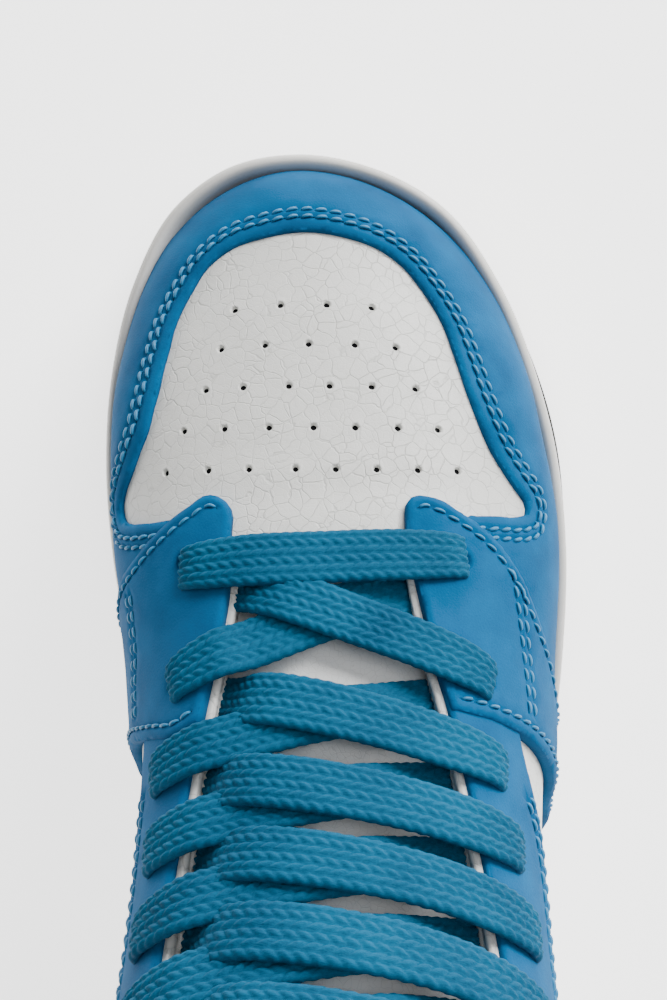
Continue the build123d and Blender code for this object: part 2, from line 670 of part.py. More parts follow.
def crossing_laces(name, start_side, middle_height, kept_clear):
    """Every strap that starts under one eyestay and ends on the other, one row higher."""
    with BuildPart() as laces:
        for row in range(len(EYELET_ROWS) - 1):
            stops = [(0.0, LACE_HIDDEN), (0.17, LACE_HIDDEN), (0.32, -2.6), (0.47, middle_height),
                     (0.57, middle_height), (0.74, LACE_ON_STAY), (0.94, LACE_ON_STAY), (1.02, LACE_ON_STAY - 0.2)]
            add(lace_strap(eyelet(row, start_side), eyelet(row + 1, -start_side), stops))
            add(lace_neck(row + 1, -start_side))
        for obstacle in kept_clear:
            add(obstacle, mode=Mode.SUBTRACT)
    laces.part.label = name
    return laces


leather = [leather_stack.part, tongue_room]
lace_crossings_over = crossing_laces("lace_crossings_over", -1, LACE_OVER, leather)
lace_crossings_under = crossing_laces("lace_crossings_under", 1, LACE_UNDER, leather + [lace_crossings_over.part])

with BuildPart() as lace_bar:
    add(lace_strap(eyelet(0, -1), eyelet(0, 1),
                   [(-0.03, 3.0), (0.06, LACE_ON_STAY), (0.3, 3.6), (0.7, 3.6), (0.94, LACE_ON_STAY), (1.03, 3.0)]))
    add(lace_neck(0, 1))
    add(lace_neck(0, -1))
    for obstacle in leather + [lace_crossings_over.part, lace_crossings_under.part]:
        add(obstacle, mode=Mode.SUBTRACT)
lace_bar.part.label = "lace_bar"


def route_radii(route):
    """Largest arc radius that each corner's two runs allow."""
    radii = []
    for before, here, after in zip(route, route[1:], route[2:]):
        run_in = Vector(*here) - Vector(*before)
        run_out = Vector(*after) - Vector(*here)
        turn = math.radians(run_in.get_angle(run_out))
        radii.append(0.45 * min(run_in.length, run_out.length) / math.tan(turn / 2))
    return radii


def lace_tail(name, side):
    """Free end of the lace that hangs inside the ankle."""
    route = [(side * x, y, z) for x, y, z in TAIL_ROUTE]
    with BuildPart() as tail:
        with BuildLine() as path:
            FilletPolyline(*route, radius=route_radii(route))
        start = Plane(origin=path.line @ 0, x_dir=(0, 1, 0), z_dir=path.line % 0)
        with BuildSketch(start):
            Rectangle(LACE_WIDTH, LACE_THICK)
        sweep()
    tail.part.label = name
    return tail, path


def aglet(name, path):
    """Hard tip rolled round the end of the lace."""
    end = Plane(origin=path.line @ 1, z_dir=path.line % 1)
    with BuildPart() as tip:
        with BuildSketch(end):
            Ellipse(2.3, 1.7)
        extrude(amount=AGLET_LENGTH)
    tip.part.label = name
    return tip


lace_tail_lateral, tail_path_lateral = lace_tail("lace_tail_lateral", 1)
lace_tail_medial, tail_path_medial = lace_tail("lace_tail_medial", -1)
aglet_lateral = aglet("aglet_lateral", tail_path_lateral)
aglet_medial = aglet("aglet_medial", tail_path_medial)

# ---- Hand-over ----------------------------------------------------------------------------------
PIECES = [
    outsole, cupsole, midsole_wedge, heel_cushion, strobel_board, sockliner_front, sockliner_heel,
    vamp, quarter_lateral, quarter_medial, toe_cap_overlay, forefoot_overlay_lateral,
    forefoot_overlay_medial, eyestay_lateral, eyestay_medial, ankle_panel_lateral, ankle_panel_medial,
    heel_tab, heel_overlay, toe_puff, heel_counter, vamp_lining, quarter_lining_lateral,
    quarter_lining_medial, collar_foam, collar_lining, tongue_lower, tongue_upper, tongue_foam,
    tongue_label, lace_bar, lace_crossings_over, lace_crossings_under, lace_tail_lateral,
    lace_tail_medial, aglet_lateral, aglet_medial,
]
for piece in PIECES:
    export_step(piece.part, f"parts/{piece.part.label}.step")
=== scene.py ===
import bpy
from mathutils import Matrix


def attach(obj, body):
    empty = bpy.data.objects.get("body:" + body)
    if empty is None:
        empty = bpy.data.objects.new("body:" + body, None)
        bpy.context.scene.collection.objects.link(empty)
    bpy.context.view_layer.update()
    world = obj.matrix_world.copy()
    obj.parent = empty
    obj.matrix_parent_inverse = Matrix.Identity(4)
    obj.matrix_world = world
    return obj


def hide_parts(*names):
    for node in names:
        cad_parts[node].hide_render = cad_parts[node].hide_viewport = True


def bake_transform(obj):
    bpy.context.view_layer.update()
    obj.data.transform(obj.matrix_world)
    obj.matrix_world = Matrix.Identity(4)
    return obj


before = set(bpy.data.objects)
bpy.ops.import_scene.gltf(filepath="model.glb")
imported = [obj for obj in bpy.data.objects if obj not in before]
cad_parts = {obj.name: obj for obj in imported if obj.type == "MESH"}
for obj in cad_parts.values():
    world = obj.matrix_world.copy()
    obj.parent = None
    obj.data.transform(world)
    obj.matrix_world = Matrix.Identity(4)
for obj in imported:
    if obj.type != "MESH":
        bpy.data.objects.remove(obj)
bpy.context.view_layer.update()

import math

import bpy
import numpy as np
from mathutils import Vector
from mathutils.geometry import delaunay_2d_cdt

# Right basketball high top. Shapes are worked out in millimetres in the frame of the CAD and
# written to meshes in metres. A place on the upper is given as (u, v): u runs up the crown line from
# the toe, v is the distance round from it, positive to the lateral side, and h is the height above
# the leather face.
MM = 0.001

# ---- Camera and free cords ----------------------------------------------------------------------
CAMERA_AT = (0.0, 69.4, 330.0)
camera_data = bpy.data.cameras.new("camera")
camera_data.lens = 48.6
camera_data.sensor_width = 36.0
camera_data.sensor_fit = "AUTO"
camera_data.clip_start = 0.01
camera = bpy.data.objects.new("camera", camera_data)
camera.location = [c * MM for c in CAMERA_AT]
bpy.context.scene.collection.objects.link(camera)
bpy.context.scene.camera = camera

# Free end of the lace on the lateral side, hanging inside the ankle; the medial one is its mirror image
TAIL_ROUTE = [(27.7, -38.4, 134.5), (28.9, -40.8, 128.0), (30.0, -42.2, 120.0), (30.5, -43.1, 110.5),
              (30.5, -43.8, 99.0), (30.0, -44.2, 87.0), (30.4, -44.8, 75.0), (30.1, -45.3, 64.0)]


def route_points(name, route):
    """Points along the NURBS spline whose control points are the route."""
    curve = bpy.data.curves.new(name, "CURVE")
    curve.dimensions = "3D"
    curve.resolution_u = 16
    spline = curve.splines.new("NURBS")
    spline.points.add(len(route) - 1)
    for control, (x, y, z) in zip(spline.points, route):
        control.co = (x * MM, y * MM, z * MM, 1)
    spline.order_u = 3
    spline.use_endpoint_u = True
    holder = bpy.data.objects.new(name, curve)
    line = bpy.data.meshes.new_from_object(holder)
    points = np.array([vertex.co for vertex in line.vertices], float) / MM
    bpy.data.objects.remove(holder)
    return points


# ---- Shape of the upper -------------------------------------------------------------------------
# Lines plan of the leather face, as in the part: crown y, z; root y, z; half widths (lateral, medial)
# at the root, the lower wall and the upper wall; height of the lower wall; depth of the crown arch;
# squareness of the crown arch.
STATIONS = np.array([
    (140.6, 16.0, 84.0, 13.0, 44.5, 40.5, 45.0, 41.0, 45.0, 41.0, 2.0, 54.3, 1.86),
    (140.9, 31.0, 83.8, 13.2, 44.5, 40.5, 45.8, 41.8, 45.8, 41.8, 4.0, 55.2, 1.87),
    (138.0, 38.2, 83.6, 13.7, 44.5, 40.5, 46.0, 42.0, 46.0, 42.0, 5.5, 53.6, 1.90),
    (132.0, 43.8, 83.4, 14.1, 44.5, 40.5, 46.0, 42.0, 46.0, 42.0, 7.5, 49.0, 1.95),
    (112.5, 52.8, 82.5, 15.1, 44.3, 40.3, 46.0, 42.2, 46.0, 42.2, 13.0, 35.2, 2.10),
    (90.0, 60.6, 80.5, 15.9, 44.3, 40.5, 46.2, 42.6, 46.2, 42.6, 18.0, 27.7, 2.26),
    (69.0, 68.0, 63.0, 16.0, 46.0, 41.0, 48.3, 43.4, 48.3, 43.4, 19.5, 32.8, 2.35),
    (44.0, 81.2, 25.0, 16.0, 43.2, 37.6, 45.4, 40.7, 45.4, 40.5, 23.0, 42.0, 2.35),
    (16.0, 103.2, -30.0, 16.0, 38.8, 31.8, 41.9, 37.5, 40.2, 37.4, 33.0, 43.0, 2.35),
    (-6.5, 129.0, -100.0, 16.0, 30.5, 28.0, 37.2, 35.5, 38.0, 37.2, 46.0, 43.0, 2.35),
    (-14.5, 140.5, -126.0, 16.5, 20.0, 19.0, 36.2, 34.7, 38.0, 37.2, 50.0, 43.5, 2.3),
    (-20.5, 150.3, -138.5, 23.0, 4.0, 4.0, 35.8, 34.5, 38.0, 37.5, 52.0, 43.5, 2.3),
    (-25.5, 159.5, -141.0, 45.0, 2.0, 2.0, 35.8, 35.0, 38.3, 38.0, 48.0, 43.0, 2.25),
    (-30.8, 170.0, -136.5, 85.0, 2.0, 2.0, 36.3, 36.0, 38.8, 38.5, 44.0, 42.0, 2.2),
    (-36.0, 184.0, -136.0, 148.0, 2.0, 2.0, 38.3, 38.0, 39.5, 39.2, 40.0, 40.0, 2.1),
])
LOWER_SHARE = 0.3
UPPER_SHARE = 0.45
CROWN_POWER = 2.15
TOP_U = 263.3              # u of the last station's crown
ROWS = 420
REACH = 216                # |v| up to which the chart is kept, one column a millimetre


def through(values, knots, at):
    """Smooth curve through values at knots."""
    values = np.asarray(values, float)
    knots = np.asarray(knots, float)
    at = np.asarray(at, float)
    edge = 2 if len(knots) > 2 else 1
    slopes = np.gradient(values, knots, axis=0, edge_order=edge)
    i = np.clip(np.searchsorted(knots, at, "right") - 1, 0, len(knots) - 2)
    gap = knots[i + 1] - knots[i]
    s = (at - knots[i]) / gap
    if values.ndim > 1:
        gap = gap[..., None]
        s = s[..., None]
    start = (2 * s**3 - 3 * s**2 + 1) * values[i] + (s**3 - 2 * s**2 + s) * gap * slopes[i]
    return start + (3 * s**2 - 2 * s**3) * values[i + 1] + (s**3 - s**2) * gap * slopes[i + 1]


def running_length(points):
    """Distance along a line of points, from its first."""
    return np.concatenate([[0], np.cumsum(np.linalg.norm(np.diff(points, axis=0), axis=1))])


crown_steps = running_length(STATIONS[:, :2])
root_steps = running_length(STATIONS[:, 2:4])
knots = 0.6 * crown_steps + 0.4 * root_steps
LINES = through(STATIONS, knots, np.linspace(0, knots[-1], ROWS))
CROWN = LINES[:, :2]
ROOT = LINES[:, 2:4]
SPAN = np.linalg.norm(CROWN - ROOT, axis=1)
crown_u = running_length(CROWN)
CROWN_U = crown_u + TOP_U - crown_u[-1]


def half_section(side, t):
    """Points of every row on one side, for t from 0 at the root to 1 at the crown."""
    root_w, lower_w, upper_w = LINES[:, 4:10:2].T if side > 0 else LINES[:, 5:10:2].T
    bulge, depth, squareness = LINES[:, 10:13].T
    root_w, lower_w, upper_w, bulge, depth, squareness = (
        a[:, None] for a in (root_w, lower_w, upper_w, bulge, depth, squareness))
    high = SPAN[:, None]
    shoulder = np.maximum(high - depth, bulge + 3)
    low = np.clip(t / LOWER_SHARE, 0, 1) * math.pi / 2
    middle = np.clip((t - LOWER_SHARE) / (UPPER_SHARE - LOWER_SHARE), 0, 1)
    top = np.clip((t - UPPER_SHARE) / (1 - UPPER_SHARE), 0, 1) * math.pi / 2
    x = np.where(t < LOWER_SHARE, root_w + (lower_w - root_w) * np.sin(low),
                 lower_w + (upper_w - lower_w) * middle**2 * (3 - 2 * middle))
    x = np.where(t < UPPER_SHARE, x, upper_w * np.maximum(np.cos(top), 0) ** (2 / squareness))
    rise = np.where(t < LOWER_SHARE, bulge * (1 - np.cos(low)), bulge + (shoulder - bulge) * middle)
    rise = np.where(t < UPPER_SHARE, rise, shoulder + (high - shoulder) * np.sin(top) ** (2 / CROWN_POWER))
    y = ROOT[:, :1] + (CROWN[:, :1] - ROOT[:, :1]) * rise / high
    z = ROOT[:, 1:] + (CROWN[:, 1:] - ROOT[:, 1:]) * rise / high
    centre = -7.6 * np.clip((y - 15) / 132, 0, 2) ** 1.25
    return np.stack([centre + side * x, y, z], axis=2), rise


def chart_half(side):
    """The rows of one side resampled every millimetre round from the crown, and each row's girth."""
    t = np.concatenate([1 - (1 - np.linspace(0, 1, 90)[::-1]) ** 1.6 * 0.55, np.linspace(0.449, 0, 80)])
    points, _ = half_section(side, np.tile(t, (ROWS, 1)))
    face = np.empty((ROWS, REACH + 1, 3))
    girths = np.empty(ROWS)
    at = np.arange(REACH + 1.0)
    for row in range(ROWS):
        walked = running_length(points[row])
        girths[row] = walked[-1]
        for axis in range(3):
            face[row, :, axis] = np.interp(at, walked, points[row, :, axis])
        beyond = at > walked[-1]
        heading = (points[row, -1] - points[row, -4]) / (walked[-1] - walked[-4])
        face[row, beyond] = points[row, -1] + (at[beyond] - walked[-1])[:, None] * heading
    return face, girths


lateral_face, lateral_girth = chart_half(1)
medial_face, medial_girth = chart_half(-1)
GIRTH = {1: lateral_girth, -1: medial_girth}
FACE = np.concatenate([medial_face[:, :0:-1], lateral_face], axis=1)
NORMAL = np.cross(np.gradient(FACE, axis=1), np.gradient(FACE, axis=0))
NORMAL /= np.linalg.norm(NORMAL, axis=2, keepdims=True)
if NORMAL[ROWS // 2, REACH, 2] < 0:
    NORMAL = -NORMAL


def place(uv, h=0.0):
    """Points in space for chart places, at a height above the leather face."""
    uv = np.asarray(uv, float).reshape(-1, 2)
    row = np.clip(np.interp(uv[:, 0], CROWN_U, np.arange(ROWS)), 0, ROWS - 1.001)
    column = np.clip(uv[:, 1] + REACH, 0, 2 * REACH - 0.001)
    i = row.astype(int)
    j = column.astype(int)
    a = (row - i)[:, None]
    b = (column - j)[:, None]

    def mix(grid):
        near = grid[i, j] * (1 - b) + grid[i, j + 1] * b
        far = grid[i + 1, j] * (1 - b) + grid[i + 1, j + 1] * b
        return near * (1 - a) + far * a

    normal = mix(NORMAL)
    normal /= np.linalg.norm(normal, axis=1, keepdims=True)
    return mix(FACE) + normal * np.broadcast_to(h, len(uv))[:, None], normal


def beside(y, z, side):
    """Chart place of a point of the face seen from the side."""
    along = CROWN - ROOT
    off = np.array([y, z]) - ROOT
    crossing = along[:, 0] * off[:, 1] - along[:, 1] * off[:, 0]
    change = np.nonzero(np.diff(np.sign(crossing)) != 0)[0]
    i = change[0] if len(change) else (0 if abs(crossing[0]) < abs(crossing[-1]) else ROWS - 2)
    share = crossing[i] / (crossing[i] - crossing[i + 1])
    share = min(max(share, 0), 1)
    u = CROWN_U[i] + (CROWN_U[i + 1] - CROWN_U[i]) * share
    v = np.arange(REACH + 1.0) * side
    line, _ = place(np.stack([np.full(REACH + 1, u), v], axis=1))
    distance = np.hypot(line[:, 1] - y, line[:, 2] - z)
    return u, v[int(np.argmin(distance))]


def back_seam(z, side):
    """Chart place of the centre line of the heel at a height."""
    rear = np.arange(ROWS)[ROOT[:, 1] > 22]
    row = np.interp(z, ROOT[rear, 1], rear)
    u = np.interp(row, np.arange(ROWS), CROWN_U)
    return u, side * (np.interp(row, np.arange(ROWS), GIRTH[side]) + 2.0)


def smooth(points, step=1.6):
    """Smooth line through places, resampled about every step."""
    points = np.asarray(points, float)
    if len(points) == 2:
        count = max(2, int(np.linalg.norm(points[1] - points[0]) / step) + 1)
        return np.linspace(points[0], points[1], count)
    walked = running_length(points)
    count = max(3, int(walked[-1] / step) + 1)
    return through(points, walked, np.linspace(0, walked[-1], count))


def inset(line, distance):
    """Line moved to its left by a distance, in the chart."""
    line = np.asarray(line, float)
    heading = np.gradient(line, axis=0)
    heading /= np.maximum(np.linalg.norm(heading, axis=1, keepdims=True), 1e-9)
    return line + np.stack([-heading[:, 1], heading[:, 0]], axis=1) * distance


def loop(*runs):
    """Closed outline of smooth runs that meet at corners."""
    lines = [smooth(run) for run in runs]
    return np.concatenate([line[:-1] if np.allclose(line[-1], lines[(k + 1) % len(lines)][0], atol=0.01)
                           else line for k, line in enumerate(lines)])


# ---- Meshes -------------------------------------------------------------------------------------
def mesh_object(name, verts, faces, material, body="shoe", shade=True, uv=None):
    """Mesh from points in millimetres, riding on a body."""
    mesh = bpy.data.meshes.new(name)
    mesh.from_pydata((np.asarray(verts) * MM).tolist(), [], [list(f) for f in faces])
    mesh.materials.append(material)
    if shade:
        mesh.polygons.foreach_set("use_smooth", [True] * len(mesh.polygons))
    if uv is not None:
        layer = mesh.uv_layers.new(name="run")
        corners = np.empty(len(mesh.loops), int)
        mesh.loops.foreach_get("vertex_index", corners)
        layer.data.foreach_set("uv", np.asarray(uv)[corners].ravel().astype(np.float32))
    mesh.validate()
    mesh.update()
    item = bpy.data.objects.new(name, mesh)
    bpy.context.scene.collection.objects.link(item)
    if body:
        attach(item, body)
    return item


def ring_faces(rings, around, closed_rings=True, first=0):
    """Quads between rings of equally many points."""
    faces = []
    spans = rings if closed_rings else rings - 1
    for i in range(spans):
        a = first + i * around
        b = first + ((i + 1) % rings) * around
        faces += [(a + j, b + j, b + (j + 1) % around, a + (j + 1) % around) for j in range(around)]
    return faces


def within(points, border):
    """Which points lie inside a closed outline."""
    found = np.zeros(len(points), bool)
    for (ax, ay), (bx, by) in zip(border, np.roll(border, -1, axis=0)):
        spans = (ay > points[:, 1]) != (by > points[:, 1])
        if spans.any():
            crossing = ax + (points[:, 1] - ay) * (bx - ax) / (by - ay)
            found ^= spans & (points[:, 0] < crossing)
    return found


def fill_outline(border, inner):
    """Triangles that fill an outline through the given inner points: places and faces."""
    border = np.asarray(border)
    turn = np.sum(border[:, 0] * np.roll(border[:, 1], -1) - np.roll(border[:, 0], -1) * border[:, 1])
    if turn < 0:
        border = border[::-1]
    inner = inner[within(inner, border)]
    points = [Vector(p) for p in np.concatenate([border, inner])]
    edges = [(k, (k + 1) % len(border)) for k in range(len(border))]
    verts, _, faces, *_ = delaunay_2d_cdt(points, edges, [], 0, 1e-4, False)
    flat = np.array([tuple(p) for p in verts])
    tris = np.array([tuple(face) for face in faces if len(face) == 3])
    tris = tris[within(flat[tris].mean(axis=1), border)]
    used = np.unique(tris)
    renumber = np.zeros(len(flat), int)
    renumber[used] = np.arange(len(used))
    return flat[used], [tuple(face) for face in renumber[tris].tolist()]


def edge_distance(points, border, chunk=1500):
    """Distance in space from each point to a line of border points."""
    out = np.empty(len(points))
    for k in range(0, len(points), chunk):
        out[k:k + chunk] = np.linalg.norm(points[k:k + chunk, None] - border[None], axis=2).min(axis=1)
    return out


def densify(line, step):
    """The same line with more points."""
    walked = running_length(line)
    at = np.arange(0, walked[-1], step)
    return np.stack([np.interp(at, walked, line[:, k]) for k in range(line.shape[1])], axis=1)


def trimmed(lines, outline, margin=1.4):
    """The part of each line that lies inside an outline, clear of its edge."""
    border = np.asarray(outline)
    edge = densify(np.vstack([border, border[:1]]), 0.4)
    kept = []
    for line in lines:
        fine = densify(np.asarray(line, float), 0.5)
        clear = np.flatnonzero(within(fine, border) & (edge_distance(fine, edge) > margin))
        runs = np.split(clear, np.flatnonzero(np.diff(clear) > 1) + 1)
        longest = max(runs, key=len)
        if len(longest) > 12:
            kept.append(fine[longest])
    return kept


PINCH = 1.1                # how far the overlays are drawn in where the cupsole grips them
HIDDEN_Z = 22.0            # panels end at this level, inside the cupsole
ROLL_STEPS = (0.12, 0.4, 0.8, 1.3, 2.0)
GROOVE_STEPS = (-1.0, -0.5, 0.0, 0.5, 1.0)


def panel(name, outline, top, back, material, body="shoe", roll=1.0, grooves=(), holes=(),
          grid=2.6, groove_depth=0.28, puff=0.0, back_roll=0.0, bulge=None):
    """Closed skin over an outline of the chart, between two heights.

    roll rounds the outer edge, back_roll the inner one; grooves are lines pressed in along the seams;
    holes are (u, v, radius, depth, rim); puff swells the skin away from its edges; bulge(u, v) adds height.
    """
    border = np.asarray(outline)
    closed = np.vstack([border, border[:1]])
    extra = []
    if (roll or back_roll) and grid < 6:
        turn = np.sum(border[:, 0] * np.roll(border[:, 1], -1) - np.roll(border[:, 0], -1) * border[:, 1])
        for step in ROLL_STEPS:
            scale = max(roll, back_roll)
            extra.append(inset(densify(closed, 1.3), math.copysign(step * scale, turn)))
    for line in grooves:
        fine = densify(np.asarray(line), 0.9)
        extra += [inset(fine, offset) for offset in GROOVE_STEPS]
    for u, v, radius, depth, rim in holes:
        for share in (0.0, 0.5, 0.8, 1.0, 1.25, 1.7, 2.4):
            count = 1 if share == 0 else 12
            angle = np.arange(count) * 2 * math.pi / count
            extra.append(np.stack([u + radius * share * np.cos(angle), v + radius * share * np.sin(angle)], axis=1))
    low = border.min(axis=0)
    high = border.max(axis=0)
    us = np.arange(low[0] + grid / 2, high[0], grid)
    vs = np.arange(low[1] + grid / 2, high[1], grid)
    lattice = np.stack(np.meshgrid(us, vs, indexing="ij"), axis=2)
    lattice[1::2, :, 1] += grid / 2
    lattice = lattice.reshape(-1, 2)
    if extra:
        crowd = np.concatenate(extra)
        crowded = {tuple(cell) for cell in np.floor(crowd / (grid * 0.5)).tolist()}
        cells = np.floor(lattice / (grid * 0.5)).tolist()
        lattice = lattice[[tuple(cell) not in crowded for cell in cells]]
        inner = np.concatenate([crowd, lattice])
    else:
        inner = lattice
    border_space = densify(place(closed)[0], 0.5)
    spaced = edge_distance(place(inner)[0], border_space)
    inner = inner[spaced > 0.09]
    _, first = np.unique(np.round(inner / 0.22).astype(int), axis=0, return_index=True)
    inner = inner[np.sort(first)]
    uv, faces = fill_outline(border, inner)
    on_face, _ = place(uv)
    d = edge_distance(on_face, border_space)

    def rounding(radius):
        return 1 - np.sqrt(np.clip(1 - (1 - np.clip(d / max(radius, 1e-6), 0, 1)) ** 2, 0, 1))

    height = np.full(len(uv), float(top)) - min(roll, 0.85 * (top - back)) * rounding(roll)
    if puff:
        height += puff * (1 - np.exp(-(d / 7.0) ** 2))
    if bulge is not None:
        height += bulge(uv[:, 0], uv[:, 1])
    if top > 0:
        height -= PINCH * np.exp(-((on_face[:, 2] - HIDDEN_Z) / 12) ** 2)
    for line in grooves:
        near = edge_distance(on_face, densify(place(line)[0], 0.4))
        height -= groove_depth * np.exp(-(near / 0.55) ** 2)
        height += 0.14 * np.exp(-((near - 1.15) / 0.6) ** 2) * (d > 1.0)
    for u, v, radius, depth, rim in holes:
        far = np.hypot(uv[:, 0] - u, uv[:, 1] - v) / radius
        height -= depth * (1 - np.clip((far - 0.55) / 0.5, 0, 1) ** 1.5) * (far < 1.05)
        height += rim * np.exp(-((far - 1.35) / 0.35) ** 2)
    under = np.full(len(uv), float(back))
    if back_roll:
        under += min(back_roll, 0.85 * (top - back)) * rounding(back_roll)
    outer = place(uv, height)[0]
    inner_side = place(uv, np.minimum(under, height - 0.05))[0]
    count = len(uv)
    a, b, c = (outer[list(index)] for index in zip(*faces[:400]))
    facing = np.einsum("ij,ij->", np.cross(b - a, c - a), place(uv[[f[0] for f in faces[:400]]])[1])
    if facing < 0:
        faces = [face[::-1] for face in faces]
    used = {}
    for face in faces:
        for k in range(3):
            used[(face[k], face[(k + 1) % 3])] = True
    rim_edges = [edge for edge in used if (edge[1], edge[0]) not in used]
    solid = faces + [(c + count, b + count, a + count) for a, b, c in faces]
    solid += [(b, a, a + count, b + count) for a, b in rim_edges]
    return mesh_object(name, np.concatenate([outer, inner_side]), solid, material,
                       body)


STITCH_SIDES = 6
STITCH_STEPS = np.linspace(0, 1, 7)


def thread_tube(path, across, radius):
    """Rings of a thin tube along a path, thinner at its ends."""
    heading = np.gradient(path, axis=0)
    heading /= np.linalg.norm(heading, axis=1, keepdims=True)
    side = np.cross(heading, across)
    side /= np.linalg.norm(side, axis=1, keepdims=True)
    up = np.cross(side, heading)
    angle = np.arange(STITCH_SIDES) * 2 * math.pi / STITCH_SIDES
    size = radius * np.clip(np.sin(np.linspace(0.12, 0.88, len(path)) * math.pi), 0.45, 1) ** 0.5
    return (path[:, None] + size[:, None, None] * (np.cos(angle)[None, :, None] * side[:, None]
            + np.sin(angle)[None, :, None] * up[:, None])).reshape(-1, 3)


def add_stitch(verts, faces, path, up, radius):
    """One closed run of thread, added to the lists of a seam."""
    first = len(verts) * STITCH_SIDES * len(STITCH_STEPS)
    verts.append(thread_tube(path, up, radius))
    faces += ring_faces(len(STITCH_STEPS), STITCH_SIDES, False, first)
    faces.append(tuple(first + k for k in range(STITCH_SIDES)))
    end = first + STITCH_SIDES * (len(STITCH_STEPS) - 1)
    faces.append(tuple(end + k for k in reversed(range(STITCH_SIDES))))


def stitching(name, lines, material, height, pitch=3.05, gap=0.8, radius=0.4, body="shoe",
              slant=0.35):
    """Thread in short raised runs along chart lines, with a small dark cone at each end as painted shade in the
    needle hole.
    """
    verts, faces = [], []
    hole_shade_verts, hole_shade_faces = [], []
    for line in lines:
        fine = densify(np.asarray(line), 0.3)
        points, normals = place(fine, height)
        walked = running_length(points)
        count = max(1, int(walked[-1] / pitch))
        real_pitch = walked[-1] / count
        for n in range(count):
            at = n * real_pitch + gap / 2 + STITCH_STEPS * (real_pitch - gap)
            path = np.stack([np.interp(at, walked, points[:, k]) for k in range(3)], axis=1)
            up = np.stack([np.interp(at, walked, normals[:, k]) for k in range(3)], axis=1)
            lift = 0.24 * np.sin(STITCH_STEPS * math.pi) ** 0.6 - 0.42 * np.abs(2 * STITCH_STEPS - 1) ** 6
            across = np.cross(up, path[-1] - path[0])
            across /= np.linalg.norm(across, axis=1, keepdims=True)
            path = path + up * lift[:, None] + across * (slant * (STITCH_STEPS - 0.5))[:, None]
            add_stitch(verts, faces, path, up, radius)
            # Painted shade: a small dark double cone at the stitch's start stands in for the shadow in its needle
            # hole.
            centre = path[0] - (path[1] - path[0]) * 0.8 + up[0] * (0.12 - lift[0])
            base = len(hole_shade_verts)
            right = across[0]
            ahead = np.cross(up[0], right)
            angle = np.arange(6) * math.pi / 3
            hole_shade_verts += [centre + 0.46 * (math.cos(a) * right + math.sin(a) * ahead) for a in angle]
            hole_shade_verts += [centre + up[0] * 0.07, centre - up[0] * 0.3]
            for k in range(6):
                hole_shade_faces.append((base + k, base + (k + 1) % 6, base + 6))
                hole_shade_faces.append((base + (k + 1) % 6, base + k, base + 7))
    mesh_object(name, np.concatenate(verts), faces, material, body)
    mesh_object(name + "_holes", np.array(hole_shade_verts), hole_shade_faces, stitch_hole_shade, body)


# ---- Materials ----------------------------------------------------------------------------------
def new_material(name):
    material = bpy.data.materials.new(name)
    material.use_nodes = True
    tree = material.node_tree
    return material, tree, tree.nodes["Principled BSDF"]


def node(tree, kind, **inputs):
    made = tree.nodes.new(kind)
    for key, value in inputs.items():
        made.inputs[key.replace("_", " ")].default_value = value
    return made


def object_coords(tree, scale=(1, 1, 1)):
    """Object coordinates in millimetres, scaled."""
    coords = tree.nodes.new("ShaderNodeTexCoord")
    mapping = tree.nodes.new("ShaderNodeMapping")
    mapping.inputs["Scale"].default_value = [s / MM for s in scale]
    tree.links.new(coords.outputs["Object"], mapping.inputs["Vector"])
    return mapping.outputs["Vector"]


def noise(tree, vector, scale, detail=3.0, roughness=0.5):
    made = node(tree, "ShaderNodeTexNoise", Scale=scale, Detail=detail, Roughness=roughness)
    tree.links.new(vector, made.inputs["Vector"])
    return made.outputs["Fac"]


def ramp(tree, value, stops):
    made = tree.nodes.new("ShaderNodeValToRGB")
    elements = made.color_ramp.elements
    while len(elements) < len(stops):
        elements.new(0.5)
    for element, (position, color) in zip(elements, stops):
        element.position = position
        element.color = color if len(color) == 4 else (*color, 1)
    tree.links.new(value, made.inputs["Fac"])
    return made.outputs["Color"]


def grey(level):
    return (level, level, level)


def mul(tree, a, b):
    made = tree.nodes.new("ShaderNodeMath")
    made.operation = "MULTIPLY"
    for socket, value in zip(made.inputs, (a, b)):
        if isinstance(value, (int, float)):
            socket.default_value = value
        else:
            tree.links.new(value, socket)
    return made.outputs[0]


def plus(tree, a, b):
    made = tree.nodes.new("ShaderNodeMath")
    made.operation = "ADD"
    tree.links.new(a, made.inputs[0])
    tree.links.new(b, made.inputs[1])
    return made.outputs[0]


def bump(tree, shader, height, strength, distance):
    made = node(tree, "ShaderNodeBump", Strength=strength, Distance=distance * MM)
    tree.links.new(height, made.inputs["Height"])
    tree.links.new(made.outputs["Normal"], shader.inputs["Normal"])


def nubuck(name, dark, light, sheen=0.25):
    """Matt napped leather: soft mottling, a fine grain and a little sheen."""
    material, tree, shader = new_material(name)
    vector = object_coords(tree)
    broad = noise(tree, vector, 0.09, 3)
    fine = noise(tree, vector, 2.6, 4, 0.7)
    tone = plus(tree, mul(tree, broad, 0.75), mul(tree, fine, 0.3))
    tree.links.new(ramp(tree, tone, [(0.34, dark), (0.72, light)]), shader.inputs["Base Color"])
    shader.inputs["Roughness"].default_value = 0.82
    shader.inputs["Specular IOR Level"].default_value = 0.12
    shader.inputs["Sheen Weight"].default_value = sheen
    shader.inputs["Sheen Roughness"].default_value = 0.45
    shader.inputs["Sheen Tint"].default_value = (0.55, 0.78, 1.0, 1)
    grain = node(tree, "ShaderNodeTexVoronoi", Scale=2.1)
    tree.links.new(vector, grain.inputs["Vector"])
    height = plus(tree, mul(tree, fine, 0.7), mul(tree, grain.outputs["Distance"], 0.45))
    bump(tree, shader, height, 0.32, 0.16)
    return material


